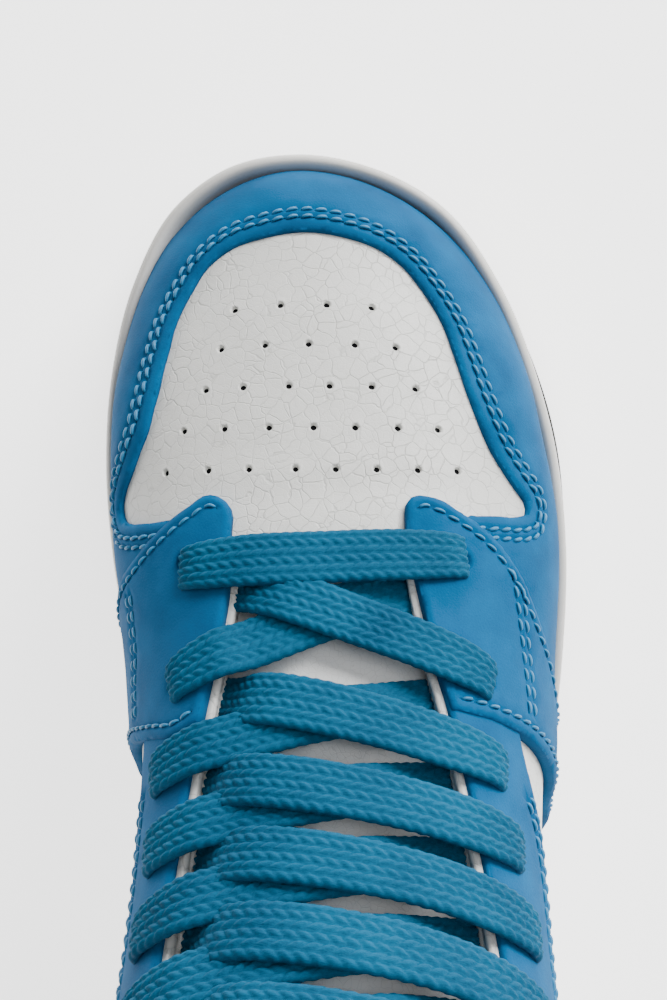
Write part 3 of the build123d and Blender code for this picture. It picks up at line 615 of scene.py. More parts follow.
def grained_leather(name, light, crease_shade, scale=0.55, depth=0.55, roughness=0.42):
    """Smooth leather with a net of fine creases, painted darker along the crease lines as painted shade in them, over
    a random tone.
    """
    material, tree, shader = new_material(name)
    vector = object_coords(tree)
    wander = node(tree, "ShaderNodeTexNoise", Scale=0.16, Detail=3.0)
    tree.links.new(vector, wander.inputs["Vector"])
    shift = tree.nodes.new("ShaderNodeVectorMath")
    shift.operation = "MULTIPLY_ADD"
    tree.links.new(wander.outputs["Color"], shift.inputs[0])
    shift.inputs[1].default_value = (3.4, 3.4, 3.4)
    tree.links.new(vector, shift.inputs[2])
    cells = node(tree, "ShaderNodeTexVoronoi", Scale=scale, Randomness=1.0)
    cells.feature = "DISTANCE_TO_EDGE"
    tree.links.new(shift.outputs[0], cells.inputs["Vector"])
    small = node(tree, "ShaderNodeTexVoronoi", Scale=scale * 2.6, Randomness=1.0)
    small.feature = "DISTANCE_TO_EDGE"
    tree.links.new(shift.outputs[0], small.inputs["Vector"])
    net = ramp(tree, cells.outputs["Distance"], [(0.0, grey(0)), (0.05, grey(1))])
    fine_net = ramp(tree, small.outputs["Distance"], [(0.0, grey(0)), (0.08, grey(1))])
    patchy = ramp(tree, noise(tree, vector, 0.11, 3), [(0.38, grey(0)), (0.62, grey(1))])
    pores = noise(tree, vector, 3.2, 4, 0.6)
    net_share = mul(tree, net, patchy)
    height = plus(tree, plus(tree, mul(tree, net_share, 0.55), mul(tree, net, 0.25)),
                  plus(tree, mul(tree, fine_net, 0.16), mul(tree, pores, 0.16)))
    # Painted shade: the colour darkens along the crease net that the bump sinks.
    tint = plus(tree, mul(tree, net, 0.6), mul(tree, noise(tree, vector, 0.3, 4), 0.55))
    tree.links.new(ramp(tree, tint, [(0.15, crease_shade), (0.75, light)]), shader.inputs["Base Color"])
    shader.inputs["Roughness"].default_value = roughness
    shader.inputs["Specular IOR Level"].default_value = 0.42
    bump(tree, shader, height, depth, 0.2)
    return material


def moulded_rubber(name, color, mottled, roughness, specks=0.12):
    material, tree, shader = new_material(name)
    vector = object_coords(tree)
    fine = noise(tree, vector, 1.7, 5, 0.65)
    broad = noise(tree, vector, 0.05, 3)
    tone = plus(tree, mul(tree, fine, 0.35), mul(tree, broad, 0.6))
    tree.links.new(ramp(tree, tone, [(0.33, mottled), (0.6, color)]), shader.inputs["Base Color"])
    rough = plus(tree, mul(tree, broad, 0.15), mul(tree, fine, roughness * 2 - 0.15))
    tree.links.new(rough, shader.inputs["Roughness"])
    bump(tree, shader, fine, specks, 0.12)
    return material


def woven(name, dark, light, pitch, depth=0.5, sheen=0.15, roughness=0.85):
    """Plain weave in object coordinates."""
    material, tree, shader = new_material(name)
    vector = object_coords(tree)
    height = None
    for axis in ("X", "Y", "Z"):
        wave = node(tree, "ShaderNodeTexWave", Scale=1.0 / pitch, Distortion=0.6, Detail=1.0)
        wave.bands_direction = axis
        tree.links.new(vector, wave.inputs["Vector"])
        height = wave.outputs["Fac"] if height is None else plus(tree, height, wave.outputs["Fac"])
    fuzz = noise(tree, vector, 1.6, 4, 0.7)
    tone = plus(tree, mul(tree, height, 0.22), mul(tree, fuzz, 0.4))
    tree.links.new(ramp(tree, tone, [(0.25, dark), (0.75, light)]), shader.inputs["Base Color"])
    shader.inputs["Roughness"].default_value = roughness
    shader.inputs["Sheen Weight"].default_value = sheen
    bump(tree, shader, plus(tree, mul(tree, height, 0.35), mul(tree, fuzz, 0.4)), depth, 0.15)
    return material


def braid(name, dark, light):
    """Flat braided lace: fibres run along each strand, laid out by the ribbon's own coordinates. The strand pattern
    that sinks the bump also darkens the colour there, as painted shade in the braid's crevices over the fibres' own
    tone.
    """
    material, tree, shader = new_material(name)
    coords = tree.nodes.new("ShaderNodeTexCoord")
    fibres = tree.nodes.new("ShaderNodeMapping")
    fibres.inputs["Scale"].default_value = (1.6, 7.0, 1.0)
    tree.links.new(coords.outputs["UV"], fibres.inputs["Vector"])
    strands = noise(tree, fibres.outputs["Vector"], 1.2, 4, 0.6)
    fuzz = noise(tree, object_coords(tree), 2.4, 5, 0.75)
    broad = noise(tree, object_coords(tree), 0.07, 2)
    # Painted shade: the strand noise that sinks the bump also darkens the colour; the fibre tone comes from the other
    # noises.
    tone = plus(tree, mul(tree, strands, 0.45), plus(tree, mul(tree, fuzz, 0.3), mul(tree, broad, 0.3)))
    tree.links.new(ramp(tree, tone, [(0.36, dark), (0.68, light)]), shader.inputs["Base Color"])
    shader.inputs["Roughness"].default_value = 0.78
    shader.inputs["Specular IOR Level"].default_value = 0.15
    shader.inputs["Sheen Weight"].default_value = 0.03
    shader.inputs["Sheen Tint"].default_value = (0.3, 0.7, 1.0, 1)
    bump(tree, shader, plus(tree, mul(tree, strands, 0.7), mul(tree, fuzz, 0.5)), 0.5, 0.22)
    return material


def plain(name, color, roughness, transmission=0.0, specular=0.5):
    material, tree, shader = new_material(name)
    shade = noise(tree, object_coords(tree), 1.1, 4)
    darker = tuple(c * 0.82 for c in color)
    tree.links.new(ramp(tree, shade, [(0.3, darker), (0.7, color)]), shader.inputs["Base Color"])
    shader.inputs["Roughness"].default_value = roughness
    shader.inputs["Transmission Weight"].default_value = transmission
    shader.inputs["Specular IOR Level"].default_value = specular
    bump(tree, shader, shade, 0.15, 0.08)
    return material


blue_leather = nubuck("blue_nubuck", (0.0, 0.066, 0.175), (0.001, 0.11, 0.27), 0.02)
white_leather = grained_leather("white_leather", (0.7, 0.7, 0.67), (0.53, 0.53, 0.505), 0.34, 0.7)
tongue_leather = grained_leather("tongue_leather", (0.8, 0.8, 0.79), (0.64, 0.64, 0.63), 0.8, 0.35, 0.5)
cup_rubber = moulded_rubber("cup_rubber", (0.66, 0.65, 0.62), (0.56, 0.55, 0.52), 0.5)
tread_rubber = moulded_rubber("tread_rubber", (0.022, 0.022, 0.024), (0.012, 0.012, 0.013), 0.6, 0.3)
lining_cloth = woven("lining_cloth", (0.5, 0.5, 0.48), (0.82, 0.82, 0.8), 1.3)
raw_edge = woven("raw_edge", (0.55, 0.54, 0.5), (0.85, 0.84, 0.8), 0.7)
sock_cloth = woven("sockliner_cloth", (0.01, 0.09, 0.19), (0.03, 0.2, 0.38), 1.1, 0.6, 0.3)
label_cloth = woven("label_cloth", (0.006, 0.08, 0.18), (0.02, 0.17, 0.34), 0.8, 0.6)
lace_braid = braid("lace_cloth", (0.0005, 0.045, 0.1), (0.001, 0.125, 0.24))
blue_thread = plain("blue_thread", (0.015, 0.2, 0.4), 0.5)
white_thread = plain("white_thread", (0.75, 0.74, 0.7), 0.6)
# Painted shade: dark blue fill for the shadow in the stitches' needle holes.
stitch_hole_shade = plain("stitch_hole_painted_shade", (0.004, 0.03, 0.06), 0.9, specular=0.1)
# Painted shade: near-black fill for the shadow inside the punched holes and eyelets.
painted_hole_shade = plain("punched_hole_painted_shade", (0.004, 0.004, 0.005), 0.9, specular=0.1)
tip_plastic = plain("aglet_plastic", (0.02, 0.2, 0.4), 0.18, 0.35)
foam = moulded_rubber("eva_foam", (0.85, 0.85, 0.82), (0.74, 0.74, 0.72), 0.45, 0.4)
board_fibre = woven("board", (0.42, 0.36, 0.28), (0.66, 0.6, 0.5), 0.9)
stiff_sheet = moulded_rubber("stiffener", (0.5, 0.48, 0.44), (0.38, 0.36, 0.33), 0.4)

for node_name, material in (("midsole_wedge", foam), ("heel_cushion", foam), ("strobel_board", board_fibre),
                            ("toe_puff", stiff_sheet), ("heel_counter", stiff_sheet)):
    cad_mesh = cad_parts[node_name].data
    cad_mesh.materials.clear()
    cad_mesh.materials.append(material)

# ---- Edges of the panels ------------------------------------------------------------------------
SKIN = 1.5                 # top of the overlay leather
SADDLE_TOP = 2.5           # the forefoot overlay lies over its neighbours
ANKLE_TOP = 1.2            # the ankle panel runs under the eyestay and the heel tab
TAB_TOP = 2.0
COLLAR_SIDE = [(-134, 142), (-97, 129), (-62, 137), (-46, 144.8), (-35.5, 149.6)]


def sole_line(side, ys, z=HIDDEN_Z):
    return [beside(y, z, side) for y in ys]


def collar_line(side, raised=0.0):
    """Top line from the back seam to the throat."""
    side_points = [beside(y, z + raised, side) for y, z in COLLAR_SIDE]
    return [back_seam(146 + raised, side)] + side_points[1:]


# u, v of the throat's edge on each side, from the vamp up to the collar
THROAT = {1: [(103.4, 16.2), (107.9, 16.0), (122.6, 17.7), (130.5, 19.0), (138.5, 20.3), (150.3, 22.9),
              (166.6, 25.8), (180.0, 28.2), (196.0, 30.6), (212.0, 32.2), (226.0, 33.0), (236.0, 33.4)],
          -1: [(104.6, -17.1), (108.3, -17.5), (122.3, -18.4), (130.5, -20.1), (140.4, -22.7), (158.7, -27.5),
               (172.9, -30.0), (184.6, -31.6), (198.0, -32.6), (213.0, -33.2), (226.0, -33.5), (236.0, -33.7)]}
TOE_OPENING = {-1: [(42.5, 0), (43.2, -8.5), (44.2, -16.0), (47.3, -21.7), (51.4, -24.7), (55.5, -27.2),
                    (60.2, -29.2), (65.6, -30.4), (70.3, -31.7), (75.8, -32.9), (80.4, -34.4), (85.5, -36),
                    (90.2, -38.8),
                    (94.9, -42.1), (98.5, -45.6), (101.6, -47.6), (104.2, -46.6), (105.4, -43), (105.8, -37.4),
                    (105.6, -30)],
               1: [(42.5, 0), (43.2, 8.3), (44.8, 15.7), (48, 20.8), (52.5, 24.2), (56.8, 26.6), (61.6, 28.4),
                   (67, 29.5), (71.7, 30.5), (76.4, 31.4), (81, 32.6), (86.1, 34.1), (90.8, 36), (95.3, 38.9),
                   (98.8, 41.8),
                   (101.4, 44.2), (103.4, 44.3), (104.4, 41.6), (104.8, 36), (104.9, 29.5)]}
SADDLE_FRONT = {-1: [(105.6, -17.2), (102.2, -18.6), (101.2, -20.9), (104.2, -27.1), (108.3, -33.4), (112.5, -40.1),
                     (117, -51.4), (119.6, -58.5), (125, -70), (134, -86)],
                1: [(105.0, 16.1), (102.2, 17.1), (101.4, 19.2), (101.9, 21.7), (104.9, 27.2), (109.5, 33.5),
                    (116.2, 39.6), (124.1, 45.9), (129.7, 52.2), (135.6, 58.3), (145, 67), (156, 80), (166, 92)]}
SADDLE_BACK = {-1: [(146.8, -24.3), (148.6, -29.2), (147.6, -38), (145.7, -53.7), (146, -64), (150, -78), (158, -94)],
               1: [(145, 22.0), (146.1, 31.5), (147.2, 38.8), (148.9, 47.4), (151, 56.5), (155.5, 64), (165, 76),
                   (180, 96)]}
STAY_OUTER = {1: [(147.5, 39), (156.6, 42.9), (162.7, 46.8), (170.8, 49.8), (178.1, 51.4), (190, 51.5), (205, 50.5),
                  (216, 50.6), (224, 53)],
              -1: [(146.5, -43.8), (156.6, -46.4), (162.7, -47.8), (170.8, -49.2), (178.1, -49.8), (190, -49.8),
                   (205, -49.6), (216, -50.2), (224, -53)]}
# u, lateral v and medial v of the eyelets
EYELET_ROWS = [(115.0, 26.0, 26.5), (139.0, 29.2, 29.2), (155.5, 31.4, 36.0), (169.5, 34.6, 36.7),
               (183.5, 38.3, 38.3), (197.5, 39.0, 39.0), (211.5, 39.6, 39.6), (225.5, 40.0, 40.0)]
PERFORATIONS = [(59.5, (-15.5, -5.9, 3.6, 12.9)), (68.4, (-18.7, -9.5, -0.6, 8.8, 17.2)),
                (77.6, (-22.3, -14.4, -5.1, 3.1, 11.6, 20.6)), (86.5, (-27.4, -18.6, -9.5, -0.6, 7.7, 16.3, 24.6)),
                (95.3, (-32.0, -22.3, -13.9, -4.6, 3.3, 11.4, 19.7, 28.0))]
SIDE_NAME = {1: "lateral", -1: "medial"}
COLLAR_U = 235.5           # where the throat meets the collar


def eyelet(row, side):
    u, lateral, medial = EYELET_ROWS[row]
    return (u, lateral) if side > 0 else (u, -medial)


def eyelet_holes(side, rows, depth):
    return [(*eyelet(k, side), 2.0, depth, 0.0) for k in rows]


def inside_line(line, distance, toward):
    """Line moved by a distance towards a chart place."""
    line = smooth(line, 1.2)
    left = inset(line, distance)
    right = inset(line, -distance)
    middle = len(line) // 2
    target = np.asarray(toward, float)
    nearer = np.linalg.norm(left[middle] - target) < np.linalg.norm(right[middle] - target)
    return left if nearer else right


SADDLE_FRONT[1] = SADDLE_FRONT[1][:10] + [beside(22, 34, 1), beside(17, HIDDEN_Z, 1)]
SADDLE_FRONT[-1] = SADDLE_FRONT[-1][:8] + [beside(38, 30, -1), beside(34, HIDDEN_Z, -1)]
SADDLE_BACK[1] = SADDLE_BACK[1][:5] + [beside(-2, 38, 1), beside(-7, HIDDEN_Z, 1)]
SADDLE_BACK[-1] = SADDLE_BACK[-1][:4] + [beside(14, 48, -1), beside(6, 32, -1), beside(3, HIDDEN_Z, -1)]
STAY_REAR = [(-18, 95), (-32, 110), (-42, 125), (-47, 138)]
for end in (1, -1):
    STAY_OUTER[end] = STAY_OUTER[end][:4] + [beside(y, z, end) for y, z in STAY_REAR] + [beside(-49, 143.3, end)]


def throat_run(side, low, high, proud=0.0):
    """The throat's edge between two u, moved towards the middle by proud."""
    line = np.array(THROAT[side])
    inner = line[(line[:, 0] > low + 1) & (line[:, 0] < high - 1)]
    ends = [(u, np.interp(u, line[:, 0], line[:, 1])) for u in (low, high)]
    run = np.vstack([ends[0], inner, ends[1]])
    run[:, 1] -= side * proud
    return run.tolist()


# ---- Base leather and linings -------------------------------------------------------------------
VAMP_END_U = 121.0
VAMP_FRONT_U = 113.0       # the vamp's edge at the foot of the throat, under the first lace
TOE_YS = (40, 60, 80, 100, 118, 131, 138)


def vamp_outline(back_u=VAMP_END_U, proud=0.0):
    front = sole_line(1, TOE_YS) + [beside(140.4, HIDDEN_Z, 1)[:1] + (0.0,)] + sole_line(-1, TOE_YS[::-1])
    medial_throat = throat_run(-1, VAMP_FRONT_U, back_u, proud)[::-1]
    lateral_throat = throat_run(1, VAMP_FRONT_U, back_u, proud)
    return loop(front, [front[-1], (118, -42), medial_throat[0]], medial_throat,
                [medial_throat[-1], (VAMP_FRONT_U - 0.6, 0), lateral_throat[0]], lateral_throat,
                [lateral_throat[-1], (120, 42), front[0]])


QUARTER_YS = (-128, -110, -80, -50, -20, 10, 40)


def quarter_outline(side, proud):
    throat = throat_run(side, VAMP_END_U, COLLAR_U, proud)
    collar = collar_line(side)
    seam = [back_seam(z, side) for z in (146, 120, 95, 70, 48, 30)]
    sole = sole_line(side, QUARTER_YS)
    rising = [sole[-1], (120, side * 42), throat[0]]
    return loop(throat, [throat[-1], collar[-1]], collar[::-1], seam, [seam[-1], sole[0]], sole, rising)


def creases(u, v):
    """Slack in the toe box leather: low broad folds across it behind the perforations."""
    return 0.22 * np.sin(u * 0.55 + 0.8 * np.sin(v * 0.11)) * np.exp(-((u - 101) / 9) ** 2) * np.exp(-(v / 24) ** 2)


perforations = [(u, v, 0.72, 1.3, 0.1) for u, vs in PERFORATIONS for v in vs]
vamp = panel("vamp_leather", vamp_outline(proud=1.2), 0.0, -1.6, white_leather,
             holes=perforations, bulge=creases, grid=2.2)
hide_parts("vamp")
vamp_lining = panel("vamp_inner_lining", vamp_outline(), -2.5, -3.3, lining_cloth, roll=0, grid=6)
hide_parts("vamp_lining")
for side, word in SIDE_NAME.items():
    quarter = panel(f"quarter_leather_{word}", quarter_outline(side, 1.2), 0.0, -1.6, white_leather,
                    roll=0.7, grid=4)
    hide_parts(f"quarter_{word}")
    lining = panel(f"quarter_inner_lining_{word}", quarter_outline(side, 0.6), -2.0, -3.2, raw_edge,
                   roll=0, grid=5)
    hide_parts(f"quarter_lining_{word}")


def hole_shade_discs(name, holes, height):
    """Dark discs at the bottom of punched holes: painted shade standing in for the shadow inside each hole."""
    verts, faces = [], []
    angle = np.arange(12) * math.pi / 6
    for u, v, radius in holes:
        ring = np.column_stack([u + radius * np.cos(angle), v + radius * np.sin(angle)])
        base = len(verts)
        verts += place(ring, height)[0].tolist() + place(ring, height - 0.15)[0].tolist()
        faces += [(base + k, base + (k + 1) % 12, base + 12 + (k + 1) % 12, base + 12 + k) for k in range(12)]
        faces.append(tuple(base + 12 + k for k in range(12)))
        faces.append(tuple(base + k for k in reversed(range(12))))
    mesh_object(name, np.array(verts), faces, painted_hole_shade, "shoe", shade=False)


# Painted shade: near-black discs sunk in the perforations and the eyelets stand in for the shadow inside them.
hole_shade_discs("perforation_painted_shade", [(u, v, 0.62) for u, vs in PERFORATIONS for v in vs], -0.75)
for part, rows, height in (("saddle", (0, 1), 0.75), ("stay", range(2, len(EYELET_ROWS)), 0.3)):
    hole_shade_discs(f"eyelet_painted_shade_{part}", [(*eyelet(k, side), 1.75) for k in rows for side in (1, -1)], height)

# ---- Overlays -----------------------------------------------------------------------------------
ROW_INSET = 2.9            # first stitch row from an edge
ROW_GAP = 1.9              # between the two rows of a double seam

toe_front = sole_line(1, TOE_YS) + [beside(140.4, HIDDEN_Z, 1)[:1] + (0.0,)] + sole_line(-1, TOE_YS[::-1])
opening = TOE_OPENING[1][::-1] + TOE_OPENING[-1][1:]
under_lateral = [(109.5, 26.5), (114.5, 32), (121, 38), (129, 44), (135.5, 50), (141.5, 56.5), beside(12, 34, 1),
                 beside(8, HIDDEN_Z, 1)]
under_medial = [(110, -27), (113.5, -32), (118, -39.5), (122.5, -50.5), (126, -58), beside(28, 30, -1),
                beside(24, HIDDEN_Z, -1)]
cap_front = sole_line(1, (8, 24) + TOE_YS) + toe_front[len(TOE_YS):] + sole_line(-1, (24,))
cap_outline = loop(cap_front, under_medial[::-1], [under_medial[0], (109.5, -26), opening[-1]], opening[::-1],
                   [opening[0], (109, 26), under_lateral[0]], under_lateral)
cap_rows = trimmed([inside_line(opening, ROW_INSET, (20, 0)), inside_line(opening, ROW_INSET + ROW_GAP, (20, 0))],
                   cap_outline)
toe_cap = panel("toe_cap", cap_outline, SKIN, 0.0, blue_leather, grooves=cap_rows, roll=1.1, puff=0.5)
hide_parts("toe_cap_overlay")
stitching("toe_cap_stitching", cap_rows, blue_thread, SKIN + 0.2, slant=0.5)

for side, word in SIDE_NAME.items():
    front = SADDLE_FRONT[side]
    back = SADDLE_BACK[side]
    tip = front[0]
    throat = throat_run(side, tip[0] + 0.1, back[0][0])
    throat[0] = tip
    throat[-1] = back[0]
    sole = [front[-1], back[-1]]
    middle = (130, side * 45)
    front_row = inside_line(front[1:], 2.4, middle)
    back_row = inside_line(back, 2.3, middle)
    inner_row = smooth([(112.5, side * 36.5), (125.6, side * 38.6), (139, side * 40.2), (144, side * 40.5)]
                       if side > 0 else [(119.0, -42.5), (128.3, -42.8), (138, -44.6), (143, -45)])
    outline = loop(front, sole, back[::-1], throat[::-1])
    rows = trimmed([front_row, back_row, inner_row, inside_line(inner_row, ROW_GAP, (128, side * 55))], outline)
    saddle = panel(f"forefoot_overlay_piece_{word}", outline, SADDLE_TOP, 0.0,
                   blue_leather, grooves=rows, roll=1.1, puff=0.2,
                   holes=eyelet_holes(side, (0, 1), 2.2))
    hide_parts(f"forefoot_overlay_{word}")
    stitching(f"forefoot_stitching_{word}", rows, blue_thread, SADDLE_TOP + 0.05, radius=0.36)

    outer = STAY_OUTER[side]
    stay_start = [(138.0, side * 40), (136.5, side * 30), (138.0, throat_run(side, 130, 138.0)[-1][1])]
    stay_throat = throat_run(side, 138.0, COLLAR_U)
    collar_end = collar_line(side)[-1]
    top = [stay_throat[-1], collar_end, outer[-1]]
    outer_run = [stay_start[0]] + outer
    outline = loop(stay_start, stay_throat, top, outer_run[::-1])
    stay_rows = trimmed([inside_line(outer[1:], 2.4, (190, side * 42)),
                         inside_line(outer[1:], 2.4 + ROW_GAP, (190, side * 42))], outline)
    stay = panel(f"eyestay_piece_{word}", outline, SKIN, 0.0,
                 blue_leather, grooves=stay_rows, roll=1.0, puff=0.2,
                 holes=eyelet_holes(side, range(2, 8), 1.4))
    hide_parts(f"eyestay_{word}")
    stitching(f"eyestay_stitching_{word}", stay_rows, blue_thread, SKIN + 0.05)

    ankle_front = [beside(y, z, side) for y, z in ((-24, 104.5), (-30, 111), (-39, 125), (-44, 138), (-46, 143.5))]
    ankle_back = [beside(y, z, side) for y, z in ((-121, 90), (-124, 110), (-125, 137.6))]
    ankle_low = [beside(y, z, side) for y, z in ((-24, 104.5), (-60, 98), (-92, 90.5), (-121, 90))]
    ankle_top = [beside(y, z, side) for y, z in ((-46, 143.5), (-62, 137), (-97, 129), (-125, 137.6))]
    ankle_center = beside(-80, 112, side)
    outline = loop(ankle_front[::-1], ankle_low, ankle_back, ankle_top[::-1])
    ankle_rows = trimmed([inside_line(ankle_low, 2.4, ankle_center), inside_line(ankle_top, 3.0, ankle_center),
                          inside_line(ankle_low, 2.4 + ROW_GAP, ankle_center)], outline)
    ankle = panel(f"ankle_piece_{word}", outline, ANKLE_TOP, 0.0,
                  blue_leather, grooves=ankle_rows, roll=1.0, puff=0.7, grid=3.4)
    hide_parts(f"ankle_panel_{word}")
    stitching(f"ankle_stitching_{word}", ankle_rows, blue_thread, ANKLE_TOP + 0.15)

    tab_front = [beside(y, z, side) for y, z in ((-112.5, 77), (-118.4, 92), (-121.4, 110), (-121.6, 137))]
    tab_top = [tab_front[-1], beside(-130, 140.5, side), back_seam(146, side)]
    tab_back = [back_seam(z, side) for z in (146, 125, 105, 87)]
    tab_low = [back_seam(87, side), beside(-128, 80.5, side), tab_front[0]]
    tab_center = beside(-130, 105, side)
    outline = loop(tab_front, tab_top, tab_back, tab_low)
    tab_rows = trimmed([inside_line(tab_front, 2.4, tab_center), inside_line(tab_top, 3.0, tab_center),
                        inside_line(tab_front, 2.4 + ROW_GAP, tab_center)], outline)
    tab = panel(f"heel_tab_piece_{word}", outline, TAB_TOP, 0.0,
                blue_leather, grooves=tab_rows, roll=0.9, puff=0.2, grid=3)
    stitching(f"heel_tab_stitching_{word}", tab_rows, blue_thread, TAB_TOP + 0.05)

    heel_front = [beside(y, z, side) for y, z in ((-72, HIDDEN_Z), (-84, 34), (-98, 56), (-112, 78), (-128, 82.2))]
    heel_front.append(back_seam(88, side))
    heel_back = [back_seam(z, side) for z in (88, 70, 48, 30)]
    heel_low = [heel_back[-1]] + sole_line(side, (-128, -110, -90)) + [heel_front[0]]
    heel_center = beside(-118, 45, side)
    outline = loop(heel_front, heel_back, heel_low)
    heel_rows = trimmed([inside_line(heel_front, 2.4, heel_center),
                         inside_line(heel_front, 2.4 + ROW_GAP, heel_center)], outline)
    heel = panel(f"heel_overlay_piece_{word}", outline, SADDLE_TOP + 0.2, 0.0,
                 blue_leather, grooves=heel_rows, roll=1.0, puff=0.2, grid=3.2)
    stitching(f"heel_stitching_{word}", heel_rows, blue_thread, SADDLE_TOP + 0.3)
    if side > 0:
        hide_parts("heel_tab")
        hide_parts("heel_overlay")

    # ---- Padded collar
    pad_top = [back_seam(147.2, side)] + [beside(y, z + 1.2, side) for y, z in COLLAR_SIDE[1:]]
    pad_low = [pad_top[-1], beside(-44, 128, side), beside(-62, 114, side), beside(-95, 105, side),
               back_seam(110, side)]
    pad_seam = [back_seam(110, side), back_seam(130, side), back_seam(147.2, side)]
    collar = panel(f"collar_padding_{word}", loop(pad_top, pad_low, pad_seam), -0.3, -8.8, lining_cloth,
                   roll=2.2, back_roll=6.0, grid=2.8)
    if side > 0:
        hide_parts("collar_foam", "collar_lining")

# ---- Tongue -------------------------------------------------------------------------------------
TONGUE_TOP_U = 258.5


def on_tongue(item):
    """Writes the item's placement into its mesh."""
    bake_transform(item)
    return item


def tongue_swell(u, v):
    """Crowned across its width, with a thick padded end."""
    across = np.clip(1 - (v / 26.5) ** 2, 0, 1)
    low_part = 1.9 * across * np.clip((u - 100) / 20, 0, 1)
    top_part = 1.1 * across * np.clip((u - 226) / 10, 0, 1)
    slack = 0.25 * np.sin(u * 0.21) * across
    return low_part + top_part + slack


tongue_edge = [(96, -22), (150, -25.5), (200, -26), (232, -25.2), (250, -24.6), (256.5, -21.5), (TONGUE_TOP_U, -14),
               (TONGUE_TOP_U + 0.6, 0), (TONGUE_TOP_U, 14), (256.5, 21.5), (250, 24.6), (232, 25.2), (200, 26),
               (150, 25.5), (96, 22)]
tongue_rows = [inside_line(tongue_edge[3:12], 3.6, (225, 0))]
tongue = panel("tongue_body", loop(tongue_edge, [tongue_edge[-1], tongue_edge[0]]), -5.3, -9.6, tongue_leather,
               body=None, roll=2.0, back_roll=1.6, grooves=tongue_rows, bulge=tongue_swell, grid=3)
on_tongue(tongue)
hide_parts("tongue_lower", "tongue_upper", "tongue_foam")
stitching("tongue_stitching", tongue_rows, white_thread, -5.05, body=None)
on_tongue(bpy.data.objects["tongue_stitching"])
on_tongue(bpy.data.objects["tongue_stitching_holes"])
label_edge = [(239, -17), (239, 17), (253, 17), (253, -17)]
label_line = np.concatenate([densify(np.array([a, b], float), 1.5)
                             for a, b in zip(label_edge, label_edge[1:] + label_edge[:1])])
label_grooves = [inside_line([(u, -15.2), (u, 15.2)], 0.01, (245, 0)) for u in (241, 251)]
label = panel("tongue_tab_label", label_line, -1.6, -3.4, label_cloth, body="tongue_top", roll=0.5,
              grooves=label_grooves, bulge=lambda u, v: -0.6 * (v / 17) ** 2)
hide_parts("tongue_label")

# ---- Laces --------------------------------------------------------------------------------------
BRAID_COLUMNS = 6
BRAID_PITCH = 2.4
LACE_THICK = 2.1
LACE_STEP = 0.34


def braided_ribbon(name, centre, up, widths, body="shoe", relief=0.62, thickness=LACE_THICK):
    """Flat braid along a line: six columns of slanting strands, with closed rounded ends."""
    walked = running_length(centre)
    count = int(walked[-1] / LACE_STEP)
    at = np.linspace(0, walked[-1], count)
    middle = np.stack([np.interp(at, walked, centre[:, k]) for k in range(3)], axis=1)
    for _ in range(6):
        middle[1:-1] = (middle[:-2] + 2 * middle[1:-1] + middle[2:]) / 4
    normal = np.stack([np.interp(at, walked, up[:, k]) for k in range(3)], axis=1)
    width = np.interp(at / walked[-1], np.linspace(0, 1, len(widths)), widths)
    heading = np.gradient(middle, axis=0)
    heading /= np.linalg.norm(heading, axis=1, keepdims=True)
    across = np.cross(heading, normal)
    across /= np.linalg.norm(across, axis=1, keepdims=True)
    normal = np.cross(across, heading)
    upper = 5 * BRAID_COLUMNS + 1
    share = np.linspace(-0.5, 0.5, upper)
    lower = share[::-1][1:-1:2]
    profile = np.concatenate([share, lower])
    face = np.concatenate([np.ones(upper), -np.ones(len(lower))])
    column = np.clip(((profile + 0.5) * BRAID_COLUMNS).astype(int), 0, BRAID_COLUMNS - 1)
    local = ((profile + 0.5) * BRAID_COLUMNS - column) * 2 - 1
    sign = np.where(column % 2 == 0, 1.0, -1.0)
    phase = at[:, None] / BRAID_PITCH + sign[None] * local[None] * 0.42 + 0.5 * (column % 2)[None] + 0.13 * face[None]
    strand = np.abs(np.cos(phase * math.pi)) ** 0.75
    ridge = (1 - np.abs(local[None]) ** 3.2) * strand
    edge = np.sqrt(np.clip(1 - (np.abs(profile) * 2) ** 6, 0, 1))[None]
    closing = np.clip(np.minimum(at, walked[-1] - at) / 1.1, 0, 1)
    closing = np.sqrt(1 - (1 - closing) ** 2)[:, None] * 0.97 + 0.03
    lift = face[None] * (thickness / 2 * edge * closing)
    lift = lift + face[None] * relief * (ridge - 0.5) * closing * np.maximum(edge, 0.15)
    fray = 1 + 0.012 * np.sin(at * 2.9)[:, None]
    sideways = profile[None] * width[:, None] * fray * (0.9 + 0.1 * closing)
    verts = middle[:, None] + sideways[..., None] * across[:, None] + lift[..., None] * normal[:, None]
    around = len(profile)
    faces = ring_faces(count, around, False)
    faces.append(tuple(range(around)))
    faces.append(tuple(reversed(range(around * (count - 1), around * count))))
    flipped = [face[::-1] for face in faces]
    uv = np.stack([np.repeat(at, around) / 2.0, np.tile(np.arange(around), count) / around * 20], axis=1)
    return mesh_object(name, verts.reshape(-1, 3), flipped, lace_braid, body, uv=uv)


def strap(name, start, end, stops, widths):
    """Lace between two eyelets; stops are (share of the way, height above the leather)."""
    shares, heights = np.array(stops).T
    at = np.linspace(shares[0], shares[-1], 160)
    height = np.interp(at, shares, heights)
    kernel = np.hanning(13) / np.hanning(13).sum()
    height = np.convolve(np.pad(height, 6, mode="edge"), kernel, "valid")
    uv = np.array(start) + (np.array(end) - np.array(start)) * at[:, None]
    points, normals = place(uv, height)
    for _ in range(30):
        normals[1:-1] = (normals[:-2] + normals[1:-1] + normals[2:]) / 3
    return braided_ribbon(name, points, normals, widths)


